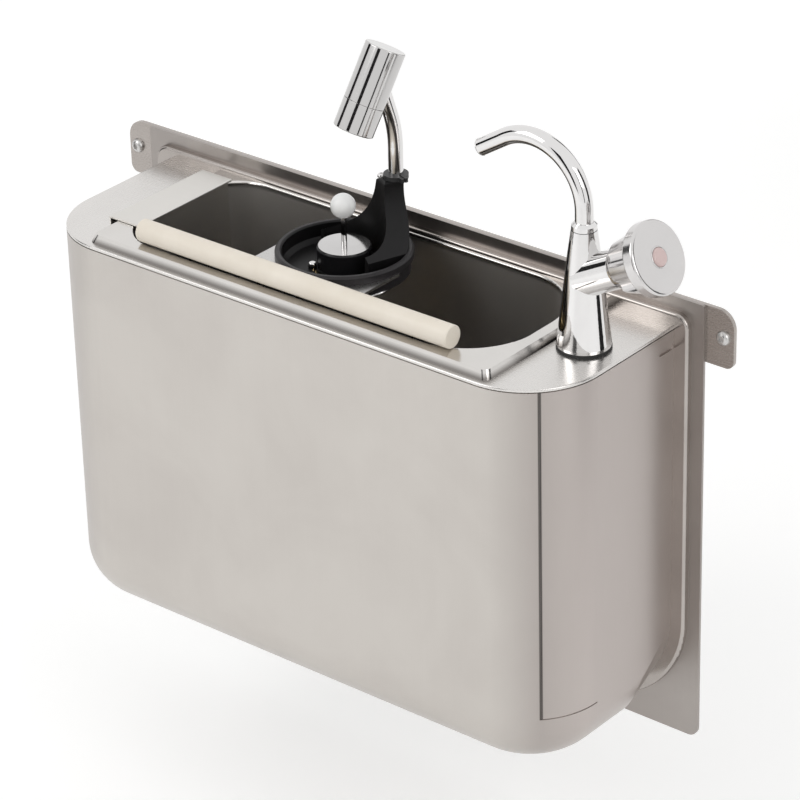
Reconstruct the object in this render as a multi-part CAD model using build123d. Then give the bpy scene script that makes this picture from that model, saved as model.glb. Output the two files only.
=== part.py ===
from build123d import *
import math
import os

# A wall-hung dipper well: a deep steel tub with a well let into its deck, a scoop
# shower in a black bowl across the well, and a small tap on the deck.
# Millimetres. The origin is on the wall, midway between the two wall screws.
# +X runs right along the wall, +Y goes into the wall and +Z is up.

# Clearances
BODY_GAP = 0.3
RUNNING_GAP = 0.05
HOLE_GAP = 0.5

# Hanging bar and its two wall screws
BAR_WIDTH = 527.0
BAR_SHEET = 3.0
BAR_ABOVE = 19.5
BAR_BELOW = 21.5
BAR_TOP_CORNER = 13.0
BAR_LOW_CORNER = 6.0
SCREW_INSET = 8.0
SCREW_SHANK_R = 2.75
SCREW_THREAD_R = 2.5
SCREW_HEAD_R = 5.2
SCREW_HEAD_HEIGHT = 3.4
SCREW_LENGTH = 8.0

# Rear plate behind the tub, and the tub's own flange in front of it
PLATE_WIDTH = 483.0
PLATE_SHEET = 2.0
PLATE_BELOW_TUB = 21.0
PLATE_CORNER = 8.0
FLANGE_SHEET = 5.0
FLANGE_OVERHANG = 11.0
FLANGE_TOP = 10.0
FLANGE_TOP_CORNER = 10.0
FLANGE_LOW_CORNER = 80.0
FLANGE_BAND = 22.0

# Tub casing and deck
TUB_WIDTH = 442.0
TUB_FRONT = -148.0
TUB_BELOW_WELL = 64.0
TUB_SHEET = 2.0
TUB_LOW_ROLL = 39.0
TUB_REAR_CORNER = 66.0
TUB_REAR_BLEND = 42.0
TUB_PLAN_CORNER = 56.0
SEAM_WIDTH = 0.8
SEAM_DEPTH = 0.8
SEAM_ABOVE_BOTTOM = 44.0
DECK_TOP = 1.0
DECK_SHEET = 2.0
DECK_EDGE = 0.9
DECK_SEAM = 0.8
DECK_SPIGOT = 6.0
SIDE_SLOT_LENGTH = 16.0
SIDE_SLOT_HEIGHT = 5.0
SIDE_SLOT_DROP = 12.0

# Well with its raised rim
RIM_HEIGHT = 6.0
RIM_WIDTH = 344.0
RIM_FRONT = -143.5
RIM_SLOPE = 2.5
RIM_CORNER = 5.0
RIM_ROLL = 1.5
WELL_WIDTH = 321.0
WELL_FRONT = -132.5
WELL_BACK_LIP = 1.6
WELL_LEFT_CORNER = 36.0
WELL_RIGHT_CORNER = 51.0
WELL_DEPTH = 232.0
WELL_FLOOR_CORNER = 24.0
WELL_SHEET = 1.5

# Cover over the overflow end of the well
COVER_LEFT = -178.0
COVER_RIGHT = -150.0
COVER_FRONT = -116.0
COVER_BACK = -21.0
BAFFLE_FRONT = -115.0
BAFFLE_BACK = -25.0
BAFFLE_DEPTH = 62.0
COVER_SHEET = 1.2
COVER_LIFT = 75.0

# Knock strip on its upright rail
RAIL_SHEET = 1.5
RAIL_STANDOFF = 2.6
RAIL_FOOT = 8.0
RAIL_BELOW_RIM = 20.0
RAIL_ABOVE_RIM = 11.0
STRIP_LENGTH = 268.0
STRIP_RADIUS = 8.0
STRIP_INSET = 5.0

# Scoop shower bowl, its bracket and hub
BOWL_X = -12.8
BOWL_Y = -61.8
BOWL_RING_TOP = 11.0
BOWL_RING_HEIGHT = 6.0
BOWL_RING_R = 47.0
BOWL_INNER_R = 42.4
BOWL_WALL = 2.2
BOWL_DEPTH = 13.0
BOWL_FLOOR = 3.0
BRACKET_SHEET = 2.0
BRACKET_WIDTH = 95.0
HUB_R = 18.7
HUB_BORE_R = 7.0
HUB_TOP = 12.3
HUB_ROOF = 2.5
DRAIN_SLOT_R = 21.4
DRAIN_SLOT_WIDTH = 3.2
DRAIN_SLOT_ANGLE = 70.0
CAP_R = 17.6
CAP_HEIGHT = 1.6
BOWL_SCREW_R = 2.7
BOWL_SCREW_BOSS_R = 3.0
BOWL_SCREW_BOSS_HEIGHT = 2.5
BOWL_SCREW_SPREAD = 44.0
BOWL_SCREW_ANGLE = 49.5
BOWL_SCREW_SHANK_R = 1.6

# Tower that carries the shower tube
TOWER_ANGLE = 70.0
TOWER_TOP = 52.0
TOWER_CROWN_DEPTH = 15.0
TOWER_CROWN_LEFT = 6.5
TOWER_CROWN_RIGHT = 4.2
TOWER_SIDE = 32.0
TOWER_FRONT_FOOT = 26.0
TOWER_BACK_LEAN = 2.3
TOWER_TUBE_R = 41.5
TOWER_TUBE_BACKING = 4.0

# Push valve under the bowl, with its rod, spring and ball
PUSH_TRAVEL = 8.0
ROD_R = 2.0
BALL_R = 8.6
BALL_CENTRE = 41.5
STOP_COLLAR_R = 6.2
STOP_COLLAR_HEIGHT = 3.0
SPRING_WIRE = 1.1
SPRING_R = 4.6
SPRING_TURNS = 6
VALVE_R = 15.0
VALVE_FLANGE_R = 27.0
VALVE_FLANGE = 4.0
VALVE_LENGTH = 62.0
VALVE_SPRING_DEPTH = 26.0
VALVE_FLOOR = 8.0
VALVE_INLET_DROP = 46.0
POPPET_R = 6.2
POPPET_HEIGHT = 4.0

# Shower tube and head, set out in the upright plane of the tower
TUBE_R = 5.2
TUBE_BORE_R = 4.2
STEM_R = 2.6
STEM_BORE_R = 1.7
STEM_FOOT_R = 38.5
TUBE_LOW_BEND = 15.0
TUBE_OUTLET_DROP = 26.0
TUBE_BEND_HEIGHT = 88.0
TUBE_BEND_R = 90.0
TUBE_LEAN = 16.0
TUBE_FLOOR = 1.5
CLIP_R = 8.6
CLIP_HEIGHT = 3.0
HEAD_R = 14.2
HEAD_WALL = 2.5
HEAD_LENGTH = 60.0
HEAD_LOW_SHARE = 20.5
HEAD_TILT = 26.5
HEAD_CENTRE_OFFSET = 18.6
HEAD_CENTRE_RISE = 32.5
HEAD_RING_GAP = 0.4
FACE_SHEET = 2.0
FACE_LIP = 1.6
FACE_HOLE_R = 0.9

# Tap on the deck
TAP_X = 191.5
TAP_Y = -67.0
TAP_GASKET_R = 18.2
TAP_GASKET = 2.0
TAP_BASE_R = 18.0
TAP_TOP_R = 8.6
TAP_HEIGHT = 81.0
SHANK_R = 9.0
SHANK_BORE_R = 5.0
SHANK_DROP = 46.0
TAP_WASHER_R = 15.0
TAP_WASHER = 2.0
TAP_NUT_R = 14.0
TAP_NUT = 9.0

# Swivelling spout
SPOUT_R = 6.0
SPOUT_BORE_R = 4.8
SPOUT_COLLAR_R = 8.4
SPOUT_COLLAR = 5.0
SPOUT_RISE = 12.0
SPOUT_BEND_R = 41.0
SPOUT_SWEEP = 122.0
SPOUT_NOSE = 22.0
SPOUT_TAIL = 16.0
SPOUT_SOCKET_DEPTH = 20.0

# Headwork and knob on the tilted axis
KNOB_TILT = 28.0
KNOB_CROSSING = 50.0
BARREL_R = 13.2
BARREL_END = 32.0
NECK_R = 9.5
NECK_END = 37.0
KNOB_BACK = 38.0
KNOB_FACE = 66.0
KNOB_BACK_R = 17.5
KNOB_SKIRT_R = 22.0
KNOB_RIM_R = 24.6
KNOB_RIM = 9.0
KNOB_LOBES = 6
KNOB_WALL = 2.5
SPINDLE_R = 3.5
SPINDLE_START = 12.0
INDEX_R = 6.2
INDEX_HEIGHT = 1.6

# Waste and strainer in the floor of the well
WASTE_X = 0.0
WASTE_FLANGE_R = 31.0
WASTE_FLANGE = 2.5
WASTE_THREAD_R = 22.5
WASTE_TAIL_R = 20.5
WASTE_BORE_R = 18.5
WASTE_BELOW_TUB = 22.0
WASTE_GASKET = 3.0
WASTE_NUT_R = 32.0
WASTE_NUT = 9.0
WASTE_BRANCH_DROP = 30.0
WASTE_BRANCH_R = 11.0
WASTE_BRANCH_LENGTH = 46.0
STRAINER_R = 27.0
STRAINER_SHEET = 1.2
STRAINER_HOLE_R = 1.7
STRAINER_KNOB_R = 5.0
STRAINER_KNOB_HEIGHT = 9.0
STRAINER_LIFT = 60.0

# Overflow from the left end of the well to the waste
OVERFLOW_Z = -34.0
OVERFLOW_R = 9.0
OVERFLOW_PIPE_R = 8.0
OVERFLOW_PIPE_BORE_R = 6.8
OVERFLOW_FLANGE_R = 13.0
OVERFLOW_FLANGE = 2.0
OVERFLOW_REACH = 27.0
OVERFLOW_BEND = 16.0

# Water pipes inside the casing and their inlets through its bottom
PIPE_R = 5.0
PIPE_BORE_R = 4.0
PIPE_BEND = 14.0
INLET_X = 135.0
INLET_SPACING = 60.0
INLET_Y = -72.0
INLET_R = 10.0
INLET_TAIL_R = 9.5
INLET_BORE_R = 6.0
INLET_BELOW = 22.0
INLET_NUT_R = 16.0
INLET_NUT = 5.0
GLAND_R = 12.0
GLAND = 4.0

# Values worked out from those above
RIM_TOP = DECK_TOP + RIM_HEIGHT
TUB_BOTTOM = RIM_TOP - WELL_DEPTH - TUB_BELOW_WELL
PLATE_BOTTOM = TUB_BOTTOM - PLATE_BELOW_TUB
SEAM_FOOT = TUB_BOTTOM + SEAM_ABOVE_BOTTOM
SCREW_SPACING = BAR_WIDTH - 2 * SCREW_INSET
HEAD_CENTRE_REACH = TOWER_TUBE_R - HEAD_CENTRE_OFFSET
HEAD_CENTRE_HEIGHT = TUBE_BEND_HEIGHT + HEAD_CENTRE_RISE
PLATE_FRONT = -(BAR_SHEET + PLATE_SHEET)
FLANGE_FRONT = PLATE_FRONT - FLANGE_SHEET
TUB_HALF = TUB_WIDTH / 2
DECK_UNDER = DECK_TOP - DECK_SHEET
TUB_RIM = DECK_UNDER - DECK_SEAM
WELL_HALF = WELL_WIDTH / 2
WELL_BACK = FLANGE_FRONT - WELL_BACK_LIP
WASTE_Y = (WELL_FRONT + WELL_BACK) / 2
WELL_FLOOR = RIM_TOP - WELL_DEPTH
WELL_UNDER = WELL_FLOOR - WELL_SHEET
BOWL_FLOOR_TOP = BOWL_RING_TOP - BOWL_DEPTH
BOWL_UNDER = BOWL_FLOOR_TOP - BOWL_FLOOR
BOWL_SEAT = BOWL_RING_TOP - BOWL_RING_HEIGHT
RAIL_FRONT = WELL_FRONT + RAIL_STANDOFF
RAIL_BACK = RAIL_FRONT + RAIL_SHEET
STRIP_HALF = STRIP_LENGTH / 2
STRIP_CENTRE_Z = RIM_TOP + BODY_GAP + STRIP_RADIUS
HUB_ROOF_UNDER = HUB_TOP - HUB_ROOF
COLLAR_TOP = HUB_ROOF_UNDER - BODY_GAP
COLLAR_UNDER = COLLAR_TOP - STOP_COLLAR_HEIGHT
SPRING_FOOT = BOWL_UNDER - VALVE_SPRING_DEPTH
CHAMBER_TOP = SPRING_FOOT - VALVE_FLOOR
VALVE_BOTTOM = BOWL_UNDER - VALVE_LENGTH
ROD_BOTTOM = CHAMBER_TOP - BODY_GAP - POPPET_HEIGHT
VALVE_INLET_Z = BOWL_UNDER - VALVE_INLET_DROP
TAP_FOOT = DECK_TOP + TAP_GASKET
TAP_TOP = TAP_FOOT + TAP_HEIGHT
WASTE_BOTTOM = TUB_BOTTOM - WASTE_BELOW_TUB
WASTE_BRANCH_Z = WELL_UNDER - WASTE_BRANCH_DROP


def span_box(x, y, z):
    """Box between two limits along each axis."""
    size = Box(x[1] - x[0], y[1] - y[0], z[1] - z[0])
    return Pos((x[0] + x[1]) / 2, (y[0] + y[1]) / 2, (z[0] + z[1]) / 2) * size


def rod(radius, low, high, x=0.0, y=0.0):
    """Upright cylinder from one height to another."""
    bar = Cylinder(radius, high - low, align=(Align.CENTER, Align.CENTER, Align.MIN))
    return Pos(x, y, low) * bar


def tube(outer, inner, low, high, x=0.0, y=0.0):
    """Upright tube from one height to another."""
    return rod(outer, low, high, x, y) - rod(inner, low - 1, high + 1, x, y)


def hexagon(across_corners_r, low, high, x=0.0, y=0.0):
    """Upright hexagonal nut blank."""
    return Pos(x, y, low) * extrude(RegularPolygon(across_corners_r, 6), high - low)


def turned(points):
    """Solid turned about Z from (radius, height) points."""
    return revolve(Plane.XZ * make_face(Polyline(*points, close=True)), Axis.Z)


def plan_sheet(half, front, back, corner):
    """Flat outline seen from above, with its two front corners round."""
    sheet = Pos(0, (front + back) / 2) * Rectangle(2 * half, back - front)
    return fillet(sheet.vertices().sort_by(Axis.Y)[:2], corner)


def upright_sheet(half, low, high, low_corner, high_corner=0.0):
    """Flat outline seen from the front, in local x and y."""
    sheet = Pos(0, (low + high) / 2) * Rectangle(2 * half, high - low)
    rounded = fillet(sheet.vertices().sort_by(Axis.Y)[:2], low_corner)
    if high_corner:
        rounded = fillet(rounded.vertices().sort_by(Axis.Y)[-2:], high_corner)
    return rounded


def stand(sheet, back, depth):
    """An upright outline pulled forward from the plane y = back."""
    return extrude(Plane.XZ.offset(-back) * sheet, depth)


def tilted(plane_origin, angle):
    """Frame in the XZ plane whose z axis is tilted up from +X by the angle."""
    direction = (math.cos(math.radians(angle)), 0, math.sin(math.radians(angle)))
    return Plane(origin=plane_origin, x_dir=(0, 1, 0), z_dir=direction)


# Wall bar, plates and flange


def wall_bar():
    sheet = upright_sheet(BAR_WIDTH / 2, -BAR_BELOW, BAR_ABOVE, BAR_LOW_CORNER, BAR_TOP_CORNER)
    bar = stand(sheet, 0, BAR_SHEET)
    for side in (-1, 1):
        hole = Cylinder(SCREW_SHANK_R + RUNNING_GAP, 4 * BAR_SHEET)
        bar -= Pos(side * SCREW_SPACING / 2, 0, 0) * Rot(90, 0, 0) * hole
    return bar


def wall_screws():
    dome = SCREW_HEAD_HEIGHT
    drive = SCREW_HEAD_R * 0.45
    profile = Polyline((0, -SCREW_LENGTH), (0, dome), (drive, dome))
    profile += ThreePointArc((drive, dome), (SCREW_HEAD_R * 0.82, dome * 0.72), (SCREW_HEAD_R, 0))
    profile += Polyline((SCREW_HEAD_R, 0), (SCREW_SHANK_R, 0), (SCREW_SHANK_R, -BAR_SHEET),
                        (SCREW_THREAD_R, -BAR_SHEET), (SCREW_THREAD_R, -SCREW_LENGTH),
                        (0, -SCREW_LENGTH))
    screw = revolve(Plane.XZ * make_face(profile), Axis.Z)
    screw -= Pos(0, 0, dome - 1.6) * extrude(RegularPolygon(drive * 0.95, 6), 3)
    group = []
    for side in (-1, 1):
        group.append(Pos(side * SCREW_SPACING / 2, -BAR_SHEET, 0) * Rot(90, 0, 0) * screw)
    return Compound(children=group)


def rear_plate():
    sheet = upright_sheet(PLATE_WIDTH / 2, PLATE_BOTTOM, BAR_ABOVE, PLATE_CORNER, PLATE_SHEET)
    return stand(sheet, -BAR_SHEET, PLATE_SHEET)


def tub_flange():
    half = TUB_HALF + FLANGE_OVERHANG
    sheet = upright_sheet(half, TUB_BOTTOM - FLANGE_OVERHANG, FLANGE_TOP, FLANGE_LOW_CORNER,
                          FLANGE_TOP_CORNER)
    frame = stand(sheet, PLATE_FRONT, FLANGE_SHEET)
    front_edges = frame.faces().sort_by(Axis.Y)[0].edges()
    frame = fillet(front_edges, FLANGE_SHEET * 0.45)
    opening = upright_sheet(TUB_HALF - TUB_SHEET, TUB_BOTTOM + TUB_SHEET, FLANGE_TOP - FLANGE_BAND,
                            TUB_REAR_CORNER - TUB_SHEET)
    return frame - stand(opening, PLATE_FRONT + 1, FLANGE_SHEET + 2)


# Tub


def tub_solid(inset, back, top):
    """The tub's outer form, drawn in by an inset: a rolled bottom edge all round the front,
    and larger bottom corners where the tub meets its rear flange."""
    half = TUB_HALF - inset
    bottom = TUB_BOTTOM + inset
    front = TUB_FRONT + inset
    plan = plan_sheet(half, front, back, TUB_PLAN_CORNER - inset)
    form = Pos(0, 0, bottom) * extrude(plan, top - bottom)
    lowest = form.faces().sort_by(Axis.Z)[0].edges()
    form = fillet([edge for edge in lowest if edge.center().Y < back - 1], TUB_LOW_ROLL - inset)
    blend = FLANGE_FRONT - TUB_REAR_BLEND
    narrow = upright_sheet(half + 1, bottom - 1, top, TUB_LOW_ROLL - inset + 1)
    wide = upright_sheet(half, bottom, top, TUB_REAR_CORNER - inset)
    body = stand(narrow, blend, blend - front + 1)
    body += loft([Plane.XZ.offset(-blend) * narrow, Plane.XZ.offset(-FLANGE_FRONT) * wide], ruled=True)
    if back > FLANGE_FRONT:
        body += stand(wide, back, back - FLANGE_FRONT)
    return form & body


def side_slot():
    """Short relief slot in the right side at the top rear corner, cut half through."""
    length = SIDE_SLOT_LENGTH
    slot = extrude(SlotOverall(length, SIDE_SLOT_HEIGHT), 2 * TUB_SHEET)
    place = Pos(TUB_HALF - TUB_SHEET / 2, FLANGE_FRONT - length / 2, DECK_UNDER - SIDE_SLOT_DROP)
    return place * Rot(0, 90, 0) * Rot(0, 0, 90) * slot


def corner_seam(side):
    """Groove where the front sheet ends: down the middle of a front corner, then round the
    foot of the corner to the side."""
    corner = TUB_PLAN_CORNER
    place = Pos(side * (TUB_HALF - corner), TUB_FRONT + corner, 0) * Rot(0, 0, -90 + side * 45)
    upright = Pos(corner, 0, (TUB_RIM + SEAM_FOOT) / 2 + 1)
    groove = upright * Box(2 * SEAM_DEPTH, SEAM_WIDTH, TUB_RIM - SEAM_FOOT + 2)
    ring = tube(corner + 1, corner - SEAM_DEPTH, SEAM_FOOT, SEAM_FOOT + SEAM_WIDTH)
    quarter = Pos(corner / 2, side * corner / 2, SEAM_FOOT) * Box(corner * 3, corner, 3 * SEAM_WIDTH)
    reach = Rot(0, 0, side * 45) * Pos(corner / 2 + 1, -side * corner / 2, SEAM_FOOT)
    half_corner = reach * Box(corner + 2, corner, 3 * SEAM_WIDTH)
    return place * (groove + (ring & quarter & half_corner))


def casing():
    shell = tub_solid(0, FLANGE_FRONT, TUB_RIM)
    shell -= tub_solid(TUB_SHEET, FLANGE_FRONT + 5, TUB_RIM + 5)
    shell -= corner_seam(-1)
    shell -= corner_seam(1)
    shell -= side_slot()
    shell -= rod(WASTE_THREAD_R + HOLE_GAP, TUB_BOTTOM - 1, TUB_BOTTOM + 9, WASTE_X, WASTE_Y)
    for x in inlet_places():
        shell -= rod(INLET_R + RUNNING_GAP, TUB_BOTTOM - 1, TUB_BOTTOM + 9, x, INLET_Y)
    return shell


def deck():
    lid = Pos(0, 0, DECK_UNDER) * extrude(plan_sheet(TUB_HALF, TUB_FRONT, FLANGE_FRONT,
                                                     TUB_PLAN_CORNER), DECK_SHEET)
    top = lid.faces().sort_by(Axis.Z)[-1]
    rim = [edge for edge in top.edges() if edge.center().Y < FLANGE_FRONT - 1]
    lid = fillet(rim, DECK_EDGE)
    low = DECK_UNDER - DECK_SPIGOT
    inside = TUB_SHEET
    spigot = plan_sheet(TUB_HALF - inside, TUB_FRONT + inside, FLANGE_FRONT, TUB_PLAN_CORNER - inside)
    inner = plan_sheet(TUB_HALF - 2 * inside, TUB_FRONT + 2 * inside, FLANGE_FRONT + 5,
                       TUB_PLAN_CORNER - 2 * inside)
    lip = Pos(0, 0, low) * extrude(spigot, DECK_SPIGOT)
    lid += lip - Pos(0, 0, low - 1) * extrude(inner, DECK_SPIGOT + 1)
    slack = 3 * HOLE_GAP
    cut_half = WELL_HALF + WELL_SHEET + slack
    cut_front = WELL_FRONT - WELL_SHEET - slack
    hole = plan_sheet(cut_half, cut_front, FLANGE_FRONT + 1, WELL_LEFT_CORNER)
    lid -= Pos(0, 0, low - 1) * extrude(hole, DECK_SPIGOT + DECK_SHEET + 2)
    return lid - rod(SHANK_R + RUNNING_GAP, low, DECK_TOP + 1, TAP_X, TAP_Y)


def well_prism(grow, low, high):
    """The well's rounded plan, grown outward, between two heights."""
    half = WELL_HALF + grow
    front = WELL_FRONT - grow
    back = WELL_BACK + grow
    plan = Pos(0, (front + back) / 2) * Rectangle(2 * half, back - front)
    plan = fillet(plan.vertices().sort_by(Axis.X)[:2], WELL_LEFT_CORNER + grow)
    plan = fillet(plan.vertices().sort_by(Axis.X)[-2:], WELL_RIGHT_CORNER + grow)
    return Pos(0, 0, low) * extrude(plan, high - low)


def rim_plateau(drop):
    """The raised rim as a solid with sloped sides, drawn in by a sheet thickness."""
    half = RIM_WIDTH / 2 - drop
    front = RIM_FRONT + drop
    foot = plan_sheet(half, front, FLANGE_FRONT, RIM_CORNER)
    head = plan_sheet(half - RIM_SLOPE, front + RIM_SLOPE, FLANGE_FRONT, RIM_CORNER)
    height = RIM_HEIGHT - drop
    return Pos(0, 0, DECK_TOP) * loft([foot, Pos(0, 0, height) * head], ruled=True)


def basin():
    outer = well_prism(WELL_SHEET, WELL_UNDER, RIM_TOP)
    outer = fillet(outer.faces().sort_by(Axis.Z)[0].edges(), WELL_FLOOR_CORNER + WELL_SHEET)
    body = outer + (rim_plateau(0) - rim_plateau(WELL_SHEET))
    cavity = well_prism(0, WELL_FLOOR, RIM_TOP + 1)
    cavity = fillet(cavity.faces().sort_by(Axis.Z)[0].edges(), WELL_FLOOR_CORNER)
    body -= cavity
    lip = [edge for edge in body.edges().filter_by_position(Axis.Z, RIM_TOP - 0.01, RIM_TOP + 0.01)
           if inside_lip(edge)]
    body = fillet(lip, RIM_ROLL)
    body -= rod(WASTE_THREAD_R + RUNNING_GAP, WELL_UNDER - 1, WELL_FLOOR + 1, WASTE_X, WASTE_Y)
    body -= along_x(OVERFLOW_R + RUNNING_GAP, -WELL_HALF - WELL_SHEET - 1, -WELL_HALF + 1, OVERFLOW_Z)
    return body - gland_hole()


def inside_lip(edge):
    """True for the edges of the well's mouth on the rim's top face."""
    centre = edge.center()
    inside_x = abs(centre.X) < WELL_HALF + 0.1
    return inside_x and WELL_FRONT - 0.1 < centre.Y < WELL_BACK + 0.1


def along_x(radius, low, high, z, y=WASTE_Y):
    """Cylinder along X between two limits."""
    bar = Cylinder(radius, high - low, align=(Align.CENTER, Align.CENTER, Align.MIN))
    return Pos(low, y, z) * Rot(0, 90, 0) * bar


def along_y(radius, low, high, z, x):
    """Cylinder along Y between two limits."""
    bar = Cylinder(radius, high - low, align=(Align.CENTER, Align.CENTER, Align.MIN))
    return Pos(x, low, z) * Rot(-90, 0, 0) * bar


# Loose cover, rail and knock strip


def cover_plate():
    """Folded sheet over the left rim: a top leaf, a short skirt outside the rim, and a
    baffle that hangs in the well in front of the overflow."""
    under = RIM_TOP + BODY_GAP
    top = under + COVER_SHEET
    y = (COVER_FRONT, COVER_BACK)
    leaf = span_box((COVER_LEFT, COVER_RIGHT), y, (under, top))
    skirt = span_box((COVER_LEFT, COVER_LEFT + COVER_SHEET), y, (DECK_TOP + BODY_GAP, top))
    baffle = span_box((COVER_RIGHT - COVER_SHEET, COVER_RIGHT), (BAFFLE_FRONT, BAFFLE_BACK),
                      (top - BAFFLE_DEPTH, top))
    folded = leaf + skirt + baffle
    bends = folded.edges().filter_by(Axis.Y).group_by(Axis.Z)[-1]
    return fillet(bends, COVER_SHEET * 0.8)


def strip_rail():
    """Upright strip stood off the well's front wall on a welded foot, above the rim."""
    half = STRIP_HALF - STRIP_INSET
    foot_half = min(WELL_HALF - WELL_RIGHT_CORNER, half)
    low = RIM_TOP - RAIL_BELOW_RIM
    blade = span_box((-half, half), (RAIL_FRONT, RAIL_BACK), (low, RIM_TOP + RAIL_ABOVE_RIM))
    corner_cut = WELL_HALF - WELL_RIGHT_CORNER
    for side in (-1, 1):
        ends = sorted((side * corner_cut, side * (half + 1)))
        blade -= span_box(ends, (RAIL_FRONT - 1, RAIL_BACK + 1), (low - 1, RIM_TOP + BODY_GAP))
    foot = span_box((-foot_half, foot_half), (WELL_FRONT, RAIL_FRONT), (low, low + RAIL_FOOT))
    return blade + foot


def knock_strip():
    middle = (RAIL_FRONT + RAIL_BACK) / 2
    bar = along_x(STRIP_RADIUS, -STRIP_HALF, STRIP_HALF, STRIP_CENTRE_Z, middle)
    bar = fillet(bar.edges().filter_by(GeomType.CIRCLE), STRIP_RADIUS * 0.12)
    half = STRIP_HALF - STRIP_INSET
    slot = span_box((-half, half), (RAIL_FRONT, RAIL_BACK), (RIM_TOP - 1, RIM_TOP + RAIL_ABOVE_RIM))
    return bar - slot


# Scoop shower bowl


def bowl_place(z=0.0):
    return Pos(BOWL_X, BOWL_Y, z)


def bowl_bracket():
    """Shelf across the front half of the well, cut out round the bowl."""
    half = BRACKET_WIDTH / 2
    plate = span_box((BOWL_X - half, BOWL_X + half), (RAIL_BACK, BOWL_Y),
                     (BOWL_SEAT - BRACKET_SHEET, BOWL_SEAT))
    hole_r = BOWL_INNER_R + BOWL_WALL + RUNNING_GAP
    return plate - rod(hole_r, BOWL_SEAT - 9, BOWL_SEAT + 9, BOWL_X, BOWL_Y)


def tower_frame():
    """Frame at the bowl's axis: local x along the tower's radius, z up."""
    return bowl_place() * Rot(0, 0, TOWER_ANGLE)


def tower_side(crown):
    """One flank seen along the radius: steep above, sweeping out to the bowl's ring."""
    rise = TOWER_TOP - BOWL_RING_TOP
    points = [(crown, TOWER_TOP), (crown * 1.4, BOWL_RING_TOP + rise * 0.64),
              (TOWER_SIDE * 0.56, BOWL_RING_TOP + rise * 0.26), (TOWER_SIDE, BOWL_RING_TOP)]
    return Spline(*points)


def tower_silhouette():
    """Flared outline seen along the radius, with the flank towards the tap the steeper one."""
    low = BOWL_UNDER
    left = TOWER_CROWN_LEFT
    right = TOWER_CROWN_RIGHT
    outline = tower_side(left) + mirror(tower_side(right), Plane.YZ)
    outline += Line((-right, TOWER_TOP), (left, TOWER_TOP))
    outline += Polyline((TOWER_SIDE, BOWL_RING_TOP), (TOWER_SIDE, low), (-TOWER_SIDE, low),
                        (-TOWER_SIDE, BOWL_RING_TOP))
    return make_face(outline)


def tower_form():
    """The tower alone: a ring sector between two cones, cut to its silhouette."""
    top_back = TOWER_TUBE_R + TOWER_TUBE_BACKING
    top_front = top_back - TOWER_CROWN_DEPTH
    sector = turned([(TOWER_FRONT_FOOT, BOWL_UNDER), (top_front, TOWER_TOP), (top_back, TOWER_TOP),
                     (top_back - TOWER_BACK_LEAN, BOWL_SEAT), (top_back - TOWER_BACK_LEAN, BOWL_UNDER)])
    wedge = extrude(Plane.YZ * tower_silhouette(), BOWL_RING_R + 5)
    tower = sector & wedge
    crown = tower.edges().filter_by_position(Axis.Z, TOWER_TOP - 0.1, TOWER_TOP + 0.1)
    return fillet(crown, 2.0)


def shower_bowl():
    wall_r = BOWL_INNER_R + BOWL_WALL
    under = BOWL_UNDER
    bowl = turned([(0, under), (wall_r, under), (wall_r, BOWL_SEAT), (BOWL_RING_R, BOWL_SEAT),
                   (BOWL_RING_R, BOWL_RING_TOP - 1.5), (BOWL_RING_R - 1.5, BOWL_RING_TOP),
                   (BOWL_INNER_R + 1.2, BOWL_RING_TOP), (BOWL_INNER_R, BOWL_RING_TOP - 1.2),
                   (BOWL_INNER_R, BOWL_FLOOR_TOP + 3), (BOWL_INNER_R - 3, BOWL_FLOOR_TOP),
                   (0, BOWL_FLOOR_TOP)])
    for place in bowl_screw_places():
        bowl += place * rod(BOWL_SCREW_BOSS_R, BOWL_FLOOR_TOP, BOWL_FLOOR_TOP + BOWL_SCREW_BOSS_HEIGHT)
    boss = rod(STEM_R + BOWL_WALL, under, BOWL_SEAT, STEM_FOOT_R)
    bowl += Rot(0, 0, TOWER_ANGLE) * (tower_form() + boss)
    bowl -= rod(HUB_BORE_R, under - 1, BOWL_FLOOR_TOP + 1)
    for turn in range(3):
        angle = TOWER_ANGLE - 60 + 120 * turn
        bowl -= Rot(0, 0, angle) * drain_slot()
    for place in bowl_screw_places():
        bowl -= place * rod(BOWL_SCREW_SHANK_R + RUNNING_GAP, under - 1, BOWL_RING_TOP)
    bowl -= Rot(0, 0, TOWER_ANGLE) * stem_sweep(STEM_R + RUNNING_GAP)
    return bowl_place() * bowl


def drain_slot():
    """Arc slot through the bowl's floor, close round the hub."""
    half = DRAIN_SLOT_ANGLE / 2
    ring = rod(DRAIN_SLOT_R + DRAIN_SLOT_WIDTH / 2, BOWL_UNDER - 1, BOWL_FLOOR_TOP + 0.5)
    ring -= rod(DRAIN_SLOT_R - DRAIN_SLOT_WIDTH / 2, BOWL_UNDER - 2, BOWL_FLOOR_TOP + 1)
    reach = 2 * DRAIN_SLOT_R
    side = reach * math.tan(math.radians(half))
    wedge = make_face(Polyline((0, 0), (reach, -side), (reach, side), close=True))
    return ring & (Pos(0, 0, BOWL_UNDER - 1) * extrude(wedge, BOWL_DEPTH))


def bowl_screw_places():
    places = []
    for turn in (0, 180):
        places.append(Rot(0, 0, BOWL_SCREW_ANGLE + turn) * Pos(BOWL_SCREW_SPREAD / 2, 0, 0))
    return places


def bowl_screws():
    seat = BOWL_FLOOR_TOP + BOWL_SCREW_BOSS_HEIGHT
    end = BOWL_UNDER - VALVE_FLANGE
    group = []
    for place in bowl_screw_places():
        head = rod(BOWL_SCREW_R, seat, seat + 1.6)
        head = fillet(head.edges().sort_by(Axis.Z)[-1], 0.9)
        screw = head + rod(BOWL_SCREW_SHANK_R, end, seat)
        group.append(bowl_place() * place * screw)
    return Compound(children=group)


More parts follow.
